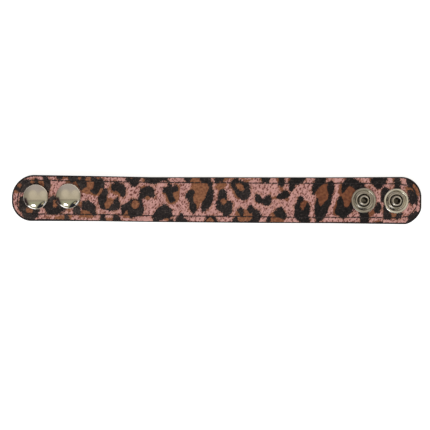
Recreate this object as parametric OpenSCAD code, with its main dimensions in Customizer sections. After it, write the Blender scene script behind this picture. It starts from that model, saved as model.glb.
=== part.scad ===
// Snap-fastened leather cuff bracelet, opened out and lying face up.
// X runs along the strap from the cap end to the stud end, Y across it, Z up.
// The origin is on the table, under the middle of the strap.

/* [Strap] */
// Length of the strap from tip to tip
strap_length = 228.6; // [215:0.1:245]
// Width of the strap at its middle
strap_width = 25.4; // [24.4:0.1:28]
// Thickness of the printed leather on top
face_thickness = 1.35; // [1:0.05:2]
// Thickness of the black leather underneath
backing_thickness = 1.2; // [1:0.05:2]

/* [Snaps] */
// Distance between the two snaps at each end
snap_pitch = 18.15; // [16:0.05:20]
// From the cap end's tip to the outer cap's centre
cap_inset = 13.6; // [11:0.1:14]
// From the stud end's tip to the outer stud's centre
stud_inset = 14.3; // [11:0.1:15]
// Diameter of a cap
cap_diameter = 14.0; // [13.4:0.1:15]
// Height of a cap's dome above the leather
cap_height = 3.3; // [2.8:0.1:4]
// Diameter of a stud's flange
stud_diameter = 13.9; // [13.4:0.1:15]
// Height of a stud above the leather, with its post's rolled end
stud_height = 3.3; // [3.2:0.05:3.5]
// Diameter of a stud's head at its widest
head_diameter = 5.5; // [5.4:0.05:5.55]
// Diameter of a socket's bore
socket_bore = 5.8; // [5.7:0.05:5.9]
// Height of a socket under the leather
socket_height = 3.6; // [3.5:0.05:4]

/* [Rest on the table] */
// Length of the slope from the sockets down to the table
cap_slope_length = 50; // [40:1:60]
// Length of the slope from the table up to the stud posts
stud_slope_length = 30; // [24:1:40]

/* [Hidden] */

$fn = 96;
gap = 0.05;              // left between pieces that touch
spare = 1;               // how far a cutting shape runs past what it cuts
nickel = [0.72, 0.70, 0.64];
printed_pink = [0.76, 0.53, 0.52];
dyed_black = [0.12, 0.11, 0.11];

// How far the snaps sit off the strap's straight centre line, as set by hand
cap_outer_y = 0.55;
cap_inner_y = 1.1;
stud_inner_y = -0.1;
stud_outer_y = -0.3;

// Barrels of the posts, which pass through both leathers
barrel_r = 2.1;
barrel_bore_r = 1.8;
roll_r = 0.4;                        // rolled end of a barrel, in section
roll_x = barrel_bore_r + roll_r;
punch_r = barrel_r + 0.1;
web = 0.35;              // metal between a socket's bore and the leather

post_flange = 0.65;
post_flange_r = 5.8;
cap_lift = socket_height + gap;
stud_lift = post_flange + gap;
leather = backing_thickness + gap + face_thickness;

half = strap_length / 2;
cap_outer_x = -half + cap_inset;
cap_inner_x = cap_outer_x + snap_pitch;
stud_outer_x = half - stud_inset;
stud_inner_x = stud_outer_x - snap_pitch;

// The strap lies flat round the snaps, and slopes down to the table between them
flat_past_snap = 8.5;
cap_slope_x = cap_inner_x + flat_past_snap;
stud_slope_x = stud_inner_x - flat_past_snap - stud_slope_length;
cap_slope_steps = 14;
stud_slope_steps = 8;

function ease(t) = t * t * (3 - 2 * t);
function underside(x) =
    x <= cap_slope_x ? cap_lift :
    x < cap_slope_x + cap_slope_length ? cap_lift * (1 - ease((x - cap_slope_x) / cap_slope_length)) :
    x <= stud_slope_x ? 0 :
    x < stud_slope_x + stud_slope_length ? stud_lift * ease((x - stud_slope_x) / stud_slope_length) :
    stud_lift;

slope_stations = concat(
    [-half - spare],
    [for (k = [0 : cap_slope_steps]) cap_slope_x + k * cap_slope_length / cap_slope_steps],
    [for (k = [0 : stud_slope_steps]) stud_slope_x + k * stud_slope_length / stud_slope_steps],
    [half + spare]
);

// Hand-cut long edges: [x as a share of half the length, drift of the centre line, extra width]
edge_table = [
    [-0.58, -0.12, -0.20],
    [-0.33, -0.40, -0.20],
    [-0.05, -0.33,  0.10],
    [ 0.25, -0.27,  0.35],
    [ 0.55, -0.12,  0.40],
];
cap_end_extra = 0.25;    // extra width at the cap end
stud_end_extra = 1.10;   // extra width at the stud end
cap_end_half = (strap_width + cap_end_extra) / 2;
stud_end_half = (strap_width + stud_end_extra) / 2;

// Corners of the two ends: [radius, exponent], where an exponent of 2 is a round corner and less is flatter
cap_top_corner = [12.4, 1.95];
cap_bottom_corner = [10.8, 1.9];
stud_top_corner = [11.2, 1.95];
stud_bottom_corner = [9.2, 1.58];
corner_steps = 12;

function sign_power(v, p) = sign(v) * pow(abs(v), p);
// Points of one corner, from angle a to a + 90, round the box corner at [sx * half, sy * half_width]
function corner(shape, sx, sy, half_width, a) = [
    for (k = [0 : corner_steps])
        let (t = a + 90 * k / corner_steps)
        [
            sx * (half - shape[0]) + shape[0] * sign_power(cos(t), 2 / shape[1]),
            sy * (half_width - shape[0]) + shape[0] * sign_power(sin(t), 2 / shape[1]),
        ]
];
function long_edge(side, order) = [
    for (i = order)
        let (row = edge_table[i])
        [row[0] * half, row[1] + side * (strap_width + row[2]) / 2]
];
outline = concat(
    corner(stud_top_corner, 1, 1, stud_end_half, 0),
    long_edge(1, [4, 3, 2, 1, 0]),
    corner(cap_top_corner, -1, 1, cap_end_half, 90),
    corner(cap_bottom_corner, -1, -1, cap_end_half, 180),
    long_edge(-1, [0, 1, 2, 3, 4]),
    corner(stud_bottom_corner, 1, -1, stud_end_half, 270)
);

// Points on an arc in a section, from angle a to b
function arc(centre, r, a, b, steps) = [
    for (k = [0 : steps])
        let (t = a + (b - a) * k / steps)
        [centre[0] + r * cos(t), centre[1] + r * sin(t)]
];
module turned(section) {
    rotate_extrude()
        polygon(section);
}

// One sheet of leather, whose lower side is up by lower from the strap's underside
module sheet(lower, thickness) {
    bottom = [for (x = slope_stations) [x, underside(x) + lower]];
    last = len(slope_stations) - 1;
    top = [for (i = [last : -1 : 0]) [slope_stations[i], underside(slope_stations[i]) + lower + thickness]];
    deep = strap_width + 10;
    difference() {
        intersection() {
            linear_extrude(height = cap_lift + leather + 2 * spare)
                polygon(outline);
            rotate([90, 0, 0])
                linear_extrude(height = deep, center = true)
                    polygon(concat(bottom, top));
        }
        for (place = [
            [cap_outer_x, cap_outer_y], [cap_inner_x, cap_inner_y],
            [stud_inner_x, stud_inner_y], [stud_outer_x, stud_outer_y],
        ])
            translate([place[0], place[1], -spare])
                cylinder(r = punch_r, h = cap_lift + leather + 3 * spare);
    }
}

module face_leather() {
    color(printed_pink)
        sheet(backing_thickness + gap, face_thickness);
}

module backing_leather() {
    color(dyed_black)
        sheet(0, backing_thickness);
}

// Domed skin of a cap: hollow, with its edge curled in under the post's disc
module cap_skin() {
    skin = 0.4;
    edge_r = 1.0;
    curl_inner_r = 5.2;
    edge_x = cap_diameter / 2 - edge_r;
    // The dome's arc meets the rounded edge without a corner
    rise = cap_height - edge_r;
    dome_r = (edge_x * edge_x + rise * rise - edge_r * edge_r) / (2 * (rise - edge_r));
    dome_z = cap_height - dome_r;
    meet = atan2(edge_r - dome_z, edge_x);
    color(nickel)
        translate([0, 0, cap_lift + leather + gap])
            turned(concat(
                arc([0, dome_z], dome_r, 90, meet, 12),
                arc([edge_x, edge_r], edge_r, meet, -90, 10),
                [[curl_inner_r, 0], [curl_inner_r, skin]],
                arc([edge_x, edge_r], edge_r - skin, -90, meet, 8),
                arc([0, dome_z], dome_r - skin, meet, 90, 12)
            ));
}

// Disc inside a cap with a barrel through both leathers, rolled over inside the socket
module cap_post() {
    disc_r = 5.7;
    disc_under = cap_lift + leather + 0.5;
    disc_top = disc_under + 0.45;
    roll_z = socket_height - web - gap - roll_r;
    color(nickel)
        turned(concat(
            [[0, disc_top], [0, disc_under], [barrel_bore_r, disc_under]],
            arc([roll_x, roll_z], roll_r, 180, 450, 12),
            [[barrel_r, roll_z + roll_r], [barrel_r, disc_under], [disc_r, disc_under], [disc_r, disc_top]]
        ));
}

// Socket under a cap: a flange on the leather, and a bore that a stud's head snaps into
module socket() {
    flange_r = 6.4;
    flange = 0.6;
    body_r = 5.2;
    foot_r = 4.7;
    bevel = 0.5;
    mouth = 0.3;
    // The wider chamber over the bore holds the post's rolled end
    chamber = 2 * roll_r + 0.25;
    chamber_r = 3.3;
    bore_r = socket_bore / 2;
    color(nickel)
        turned([
            [barrel_r + gap, socket_height],
            [barrel_r + gap, socket_height - web],
            [chamber_r, socket_height - web],
            [chamber_r, socket_height - web - chamber],
            [bore_r, socket_height - web - chamber],
            [bore_r, mouth],
            [bore_r + mouth, 0],
            [foot_r, 0],
            [body_r, bevel],
            [body_r, socket_height - flange],
            [flange_r, socket_height - flange],
            [flange_r, socket_height],
        ]);
}

// Stud on the face: a broad rolled rim, a valley, a raised ring, a groove, and a hollow head on a neck
module stud() {
    rim_r = 0.5;
    rim_x = stud_diameter / 2 - rim_r;
    head_r = head_diameter / 2;
    neck_r = head_r - 0.3;
    bore = barrel_r + gap;
    crown = 0.35;
    head_top = stud_height - 2 * roll_r - gap;
    head_low = head_top - 1.0;
    head_high = head_top - crown;
    rim_slope = [[6.05, 0.99], [5.75, 0.90], [5.55, 0.74], [5.38, 0.50]];
    valley = [[5.15, 0.38], [4.85, 0.38]];
    ring = [[4.62, 0.50], [4.42, 0.76], [4.20, 0.94], [3.95, 1.00], [3.72, 0.96], [3.55, 0.82]];
    groove = [[3.44, 0.58], [3.36, 0.32], [3.15, 0.24], [neck_r + 0.2, 0.24]];
    color(nickel)
        translate([0, 0, stud_lift + leather + gap])
            turned(concat(
                [[bore, 0], [rim_x, 0]],
                arc([rim_x, rim_r], rim_r, -90, 80, 9),
                rim_slope, valley, ring, groove,
                [[neck_r, 0.5], [neck_r, head_low - 0.25], [head_r, head_low], [head_r, head_high]],
                arc([head_r - crown, head_high], crown, 15, 90, 4),
                [[bore, head_top]]
            ));
}

// Flanged post under a stud, with a blind barrel rolled over on top of the stud's head
module stud_post() {
    edge = 0.6;
    rise = 0.2;
    floor_z = 0.35;
    roll_z = stud_lift + leather + gap + stud_height - roll_r;
    color(nickel)
        turned(concat(
            [[0, floor_z], [0, 0], [post_flange_r - edge, 0], [post_flange_r, rise]],
            [[post_flange_r, post_flange], [barrel_r, post_flange]],
            [[barrel_r, roll_z - roll_r]],
            arc([roll_x, roll_z], roll_r, -90, 180, 12),
            [[barrel_bore_r, floor_z]]
        ));
}

module at(x, y) {
    translate([x, y, 0])
        children();
}

face_leather();
backing_leather();
at(cap_outer_x, cap_outer_y) cap_skin();  // cap_outer
at(cap_inner_x, cap_inner_y) cap_skin();  // cap_inner
at(cap_outer_x, cap_outer_y) cap_post();  // cap_post_outer
at(cap_inner_x, cap_inner_y) cap_post();  // cap_post_inner
at(cap_outer_x, cap_outer_y) socket();  // socket_outer
at(cap_inner_x, cap_inner_y) socket();  // socket_inner
at(stud_outer_x, stud_outer_y) stud();  // stud_outer
at(stud_inner_x, stud_inner_y) stud();  // stud_inner
at(stud_outer_x, stud_outer_y) stud_post();  // stud_post_outer
at(stud_inner_x, stud_inner_y) stud_post();  // stud_post_inner
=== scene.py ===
"""A leopard-print leather snap cuff, opened out and lying face up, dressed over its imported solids.

Sizes here are in millimetres, and the meshes are made in metres. +X runs from the cap end to the stud end,
+Y points to the upper long edge in the picture, and +Z is up.
"""
import math

import bpy
import numpy as np
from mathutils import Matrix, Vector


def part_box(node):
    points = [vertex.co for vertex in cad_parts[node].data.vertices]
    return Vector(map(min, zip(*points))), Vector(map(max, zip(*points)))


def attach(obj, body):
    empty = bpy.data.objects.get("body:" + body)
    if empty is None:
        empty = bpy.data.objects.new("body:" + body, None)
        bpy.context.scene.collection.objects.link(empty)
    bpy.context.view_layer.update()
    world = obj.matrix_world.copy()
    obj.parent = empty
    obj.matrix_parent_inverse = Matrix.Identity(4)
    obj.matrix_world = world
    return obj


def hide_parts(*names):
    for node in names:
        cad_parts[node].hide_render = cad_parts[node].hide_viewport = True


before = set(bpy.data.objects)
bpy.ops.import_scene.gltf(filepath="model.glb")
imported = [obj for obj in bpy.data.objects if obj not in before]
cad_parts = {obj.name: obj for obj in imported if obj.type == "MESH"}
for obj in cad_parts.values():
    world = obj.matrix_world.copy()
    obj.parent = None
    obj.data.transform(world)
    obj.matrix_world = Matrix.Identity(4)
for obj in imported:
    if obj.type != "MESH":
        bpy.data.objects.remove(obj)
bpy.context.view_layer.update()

MM = 0.001


def box_mm(node):
    """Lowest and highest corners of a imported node, in millimetres."""
    low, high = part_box(node)
    return np.array(low) / MM, np.array(high) / MM


def centre(node):
    """Plan centre of a packed snap piece."""
    low, high = box_mm(node)
    return (low[:2] + high[:2]) / 2


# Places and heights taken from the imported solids
SNAPS = {name: centre(name) for name in ("cap_outer", "cap_inner", "stud_inner", "stud_outer")}
HALF_LENGTH = box_mm("face_leather")[1][0]
CAP_FOOT, CAP_CROWN = (corner[2] for corner in box_mm("cap_outer"))
STUD_FOOT = box_mm("stud_outer")[0][2]
SOCKET_HEIGHT = box_mm("socket_outer")[1][2]
POST_HEIGHT = box_mm("stud_post_outer")[1][2]

GAP = 0.05                  # air between pieces that meet
ROLL = 0.4                  # radius of a post's rolled end
FACE_THICKNESS = 1.35
CAP_LIFT = SOCKET_HEIGHT + GAP
LEATHER = CAP_FOOT - GAP - CAP_LIFT
BACK_THICKNESS = LEATHER - GAP - FACE_THICKNESS
STUD_LIFT = STUD_FOOT - GAP - LEATHER
STUD_TOP = POST_HEIGHT - STUD_FOOT
CAP_HEIGHT = CAP_CROWN - CAP_FOOT

# Where the strap slopes down from its sockets to the table and up again to the stud posts' flanges
FLAT_PAST_SNAP = 8.5
CAP_SLOPE = 50.0
STUD_SLOPE = 30.0
CAP_SLOPE_X = SNAPS["cap_inner"][0] + FLAT_PAST_SNAP
STUD_SLOPE_X = SNAPS["stud_inner"][0] - FLAT_PAST_SNAP - STUD_SLOPE

# Hand-cut long edges: [x as a share of half the length, drift of the centre line, width]
EDGE_TABLE = np.array([
    [-0.58, -0.12, 25.20],
    [-0.33, -0.40, 25.20],
    [-0.05, -0.33, 25.50],
    [0.25, -0.27, 25.75],
    [0.55, -0.12, 25.80],
])
CAP_END_WIDTH = 25.65
STUD_END_WIDTH = 26.50
# Corners by long edge, cap end first: (radius, exponent), where 2 is round
CORNERS = {1: ((12.4, 1.95), (11.2, 1.95)), -1: ((10.8, 1.9), (9.2, 1.58))}

EDGE_ROUND = 0.45           # radius of a leather's upper edge
LOWER_ROUND = 0.25          # radius of its lower edge
PUNCH_RADIUS = 2.2          # radius of the holes for the snaps


# Plan of the strap

def ease(t):
    """Smooth step t * t * (3 - 2 t), held at its ends."""
    t = np.clip(t, 0, 1)
    return t * t * (3 - 2 * t)


def underside(x):
    """Height of the strap's lower side: on the sockets, down to the table, up to the stud posts' flanges."""
    cap = CAP_LIFT * (1 - ease((x - CAP_SLOPE_X) / CAP_SLOPE))
    return cap + STUD_LIFT * ease((x - STUD_SLOPE_X) / STUD_SLOPE)


def long_edge(x, side, inset):
    """One long edge with its two corners, drawn in by inset.

    It is straight between the rows of the edge table, and each corner is a superellipse,
    (u / r)^e + (v / r)^e = 1, of the corner's radius r and exponent e.
    """
    corners = CORNERS[side]
    stations = np.concatenate([[corners[0][0] - HALF_LENGTH], EDGE_TABLE[:, 0] * HALF_LENGTH,
                               [HALF_LENGTH - corners[1][0]]])
    widths = np.concatenate([[CAP_END_WIDTH], EDGE_TABLE[:, 2], [STUD_END_WIDTH]])
    drifts = np.concatenate([[0], EDGE_TABLE[:, 1], [0]])
    y = np.interp(x, stations, drifts + side * widths / 2) - side * inset
    for end, (radius, power) in zip((-1, 1), corners):
        r = radius - inset
        u = np.clip((end * x - (HALF_LENGTH - radius)) / r, 0, 1)
        y = y - side * r * (1 - (1 - u ** power) ** (1 / power))
    return y


def columns(inset):
    """X of the net's columns: even along the strap, and closing up as R sin(t) round the corners."""
    turn, along_count, bend_count = 12.5, 513, 36
    along = np.linspace(turn - HALF_LENGTH, HALF_LENGTH - turn, along_count)
    bend = (turn - inset) * np.sin(np.linspace(0, math.pi / 2, bend_count)[1:])
    return np.concatenate([along[0] - bend[::-1], along, along[-1] + bend])


def rows():
    """Share of the width at each row of the net, closer together near the stitching than in the middle."""
    near_share, near_count, middle_count = 0.17, 16, 36
    near = np.linspace(0, near_share, near_count)
    middle = np.linspace(near_share, 1 - near_share, middle_count)[1:-1]
    return np.concatenate([near, middle, 1 - near[::-1]])


def rim(shape):
    """Vertex numbers round the border of a grid, anticlockwise, for a grid numbered by columns."""
    number = np.arange(shape[0] * shape[1]).reshape(shape)
    return np.concatenate([number[:-1, 0], number[-1, :-1], number[:0:-1, -1], number[0, :0:-1]])


def strap_net():
    """Flat net of the strap, drawn in by EDGE_ROUND: points, four-cornered faces, border and hole rims.

    Point (i, j) lies at column i and the share rows[j] of the width there. Round each snap a square of
    cells is left out, and rings run in from its border to the punched hole: ring k is the share k / n
    of the way from the square to the circle.
    """
    x = columns(EDGE_ROUND)
    share = rows()
    low, high = (long_edge(x, side, EDGE_ROUND) for side in (-1, 1))
    y = low[:, None] + (high - low)[:, None] * share
    points = np.stack([np.broadcast_to(x[:, None], y.shape), y], -1)
    shape = y.shape
    number = np.arange(y.size).reshape(shape)
    cells = np.stack([number[:-1, :-1], number[1:, :-1], number[1:, 1:], number[:-1, 1:]], -1)
    kept = np.ones(cells.shape[:2], bool)
    border = rim(shape)
    new_points, new_faces, holes = [points.reshape(-1, 2)], [], []
    made = y.size
    reach, ring_count = 3.4, 7
    for spot in SNAPS.values():
        i = np.flatnonzero(np.abs(x - spot[0]) < reach)
        j = np.flatnonzero(np.abs(y[i[0]] - spot[1]) < reach)
        kept[i[0]:i[-1], j[0]:j[-1]] = False
        square = number[i[0]:i[-1] + 1, j[0]:j[-1] + 1]
        outer = square.ravel()[rim(square.shape)]
        start = points.reshape(-1, 2)[outer]
        away = start - spot
        circle = spot + PUNCH_RADIUS * away / np.linalg.norm(away, axis=1, keepdims=True)
        share_in = np.arange(1, ring_count + 1)[:, None, None] / ring_count
        new_points.append((start + (circle - start) * share_in).reshape(-1, 2))
        ring = made + np.arange(ring_count * len(outer)).reshape(ring_count, -1)
        ring = np.vstack([outer, ring])
        made = ring[-1, -1] + 1
        new_faces.append(band(ring))
        holes.append(ring[-1])
    faces = np.vstack([cells[kept].reshape(-1, 4)] + new_faces)
    points = np.vstack(new_points)
    # The points that no face uses are left out
    used, faces = np.unique(faces, return_inverse=True)
    faces = faces.reshape(-1, 4)
    place = np.full(len(points), -1)
    place[used] = np.arange(len(used))
    return points[used], faces, place[border], [place[hole] for hole in holes]


def band(ring):
    """Faces between rings of vertex numbers, ring after ring, closed round."""
    after = np.roll(ring, -1, 1)
    return np.stack([ring[:-1], after[:-1], after[1:], ring[1:]], -1).reshape(-1, 4)


def outward(loop):
    """Unit normals in the plane at the points of an anticlockwise loop."""
    along = np.roll(loop, -1, 0) - np.roll(loop, 1, 0)
    return np.stack([along[:, 1], -along[:, 0]], -1) / np.linalg.norm(along, axis=1, keepdims=True)


# Distances in the plan

FAR = 3.0                   # print depths are kept up to this
UNREACHED = 1e9             # a distance past any here


def closed(ring):
    """A ring of points with its first one again at the end."""
    return np.vstack([ring, ring[:1]])


def run_along(line):
    """Length along a line up to each of its points."""
    return np.concatenate([[0], np.cumsum(np.linalg.norm(np.diff(line, axis=0), axis=1))])


def distance_to(points, line):
    """Least distance from each point to the straight pieces of a line."""
    nearest = np.full(len(points), UNREACHED)
    for a, b in zip(line[:-1], line[1:]):
        step = b - a
        t = np.clip((points - a) @ step / (step @ step), 0, 1)
        nearest = np.minimum(nearest, np.linalg.norm(points - a - t[:, None] * step, axis=1))
    return nearest


def inside(points, ring):
    """True where a point lies inside a closed ring, by counting the sides that cross to its right."""
    x, y = points.T
    odd = np.zeros(len(points), bool)
    for (ax, ay), (bx, by) in zip(ring, np.roll(ring, -1, 0)):
        crosses = (ay > y) != (by > y)
        if crosses.any():
            odd ^= crosses & (x < ax + (y - ay) * (bx - ax) / (by - ay))
    return odd


def rounded(ring, times):
    """Cuts the corners of a closed ring, each time at a quarter and three quarters of every side."""
    for _ in range(times):
        after = np.roll(ring, -1, 0)
        ring = np.stack([0.75 * ring + 0.25 * after, 0.25 * ring + 0.75 * after], 1).reshape(-1, 2)
    return ring


def depth_inside(points, rings):
    """How far each point lies inside the nearest ring: positive inside, negative outside, held at FAR."""
    depth = np.full(len(points), -FAR)
    for ring in rings:
        ring = rounded(np.array(ring, float), 2)
        near = np.flatnonzero(np.all((points > ring.min(0) - FAR) & (points < ring.max(0) + FAR), 1))
        if not len(near):
            continue
        away = distance_to(points[near], closed(ring))
        away = np.where(inside(points[near], ring), away, -away)
        depth[near] = np.maximum(depth[near], np.clip(away, -FAR, FAR))
    return depth


# Line of stitching, from the lower left up and round, and its needle holes
STITCH_LINE = [
    (-111.3, -5.5), (-111.3, -2.0), (-110.9, 1.4), (-110.3, 2.8), (-109.6, 5.3), (-107.7, 8.6),
    (-106.0, 9.7), (-100, 9.85), (-78, 9.6), (-60, 9.4), (-38, 9.25), (-24, 9.25), (-12, 9.2), (3, 9.3),
    (27, 9.15), (50, 9.3), (66, 9.5), (81, 9.4), (96, 9.4), (103.6, 9.0), (106.4, 8.5), (108.8, 7.6),
    (110.6, 4.9), (111.8, 1.8), (112.1, -1.3), (111.5, -3.6), (109.6, -6.6), (107.3, -8.7), (104.5, -9.5),
    (90, -9.65), (66, -9.55), (50, -9.75), (30, -9.7), (0, -9.4), (-16, -9.55), (-38, -9.4), (-60, -9.0),
    (-88, -8.9), (-104, -8.9), (-107.5, -8.1), (-110.0, -6.8),
]
STITCH_PITCH = 3.6


def stitch_holes():
    """Needle holes at an even pitch round the closed, rounded line of stitching."""
    line = closed(rounded(np.array(STITCH_LINE, float), 2))
    run = run_along(line)
    count = round(run[-1] / STITCH_PITCH)
    at = np.arange(count) * run[-1] / count
    return np.stack([np.interp(at, run, line[:, k]) for k in (0, 1)], -1)


# Width of the black dye along the cut edges: [x, upper edge, lower edge]
DYE_TABLE = np.array([
    [-114, 0.80, 0.90], [-105, 0.95, 1.05], [-95, 0.88, 1.20], [-86, 0.85, 1.02], [-78, 0.80, 0.78],
    [-62, 0.60, 0.45], [-50, 0.58, 0.50], [-20, 0.50, 0.60], [0, 0.42, 0.70], [20, 0.42, 0.72],
    [50, 0.45, 0.60], [66, 0.45, 0.82], [78, 0.45, 0.95], [100, 0.60, 0.85], [110, 1.05, 0.95],
    [114, 0.95, 0.95],
])

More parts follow.
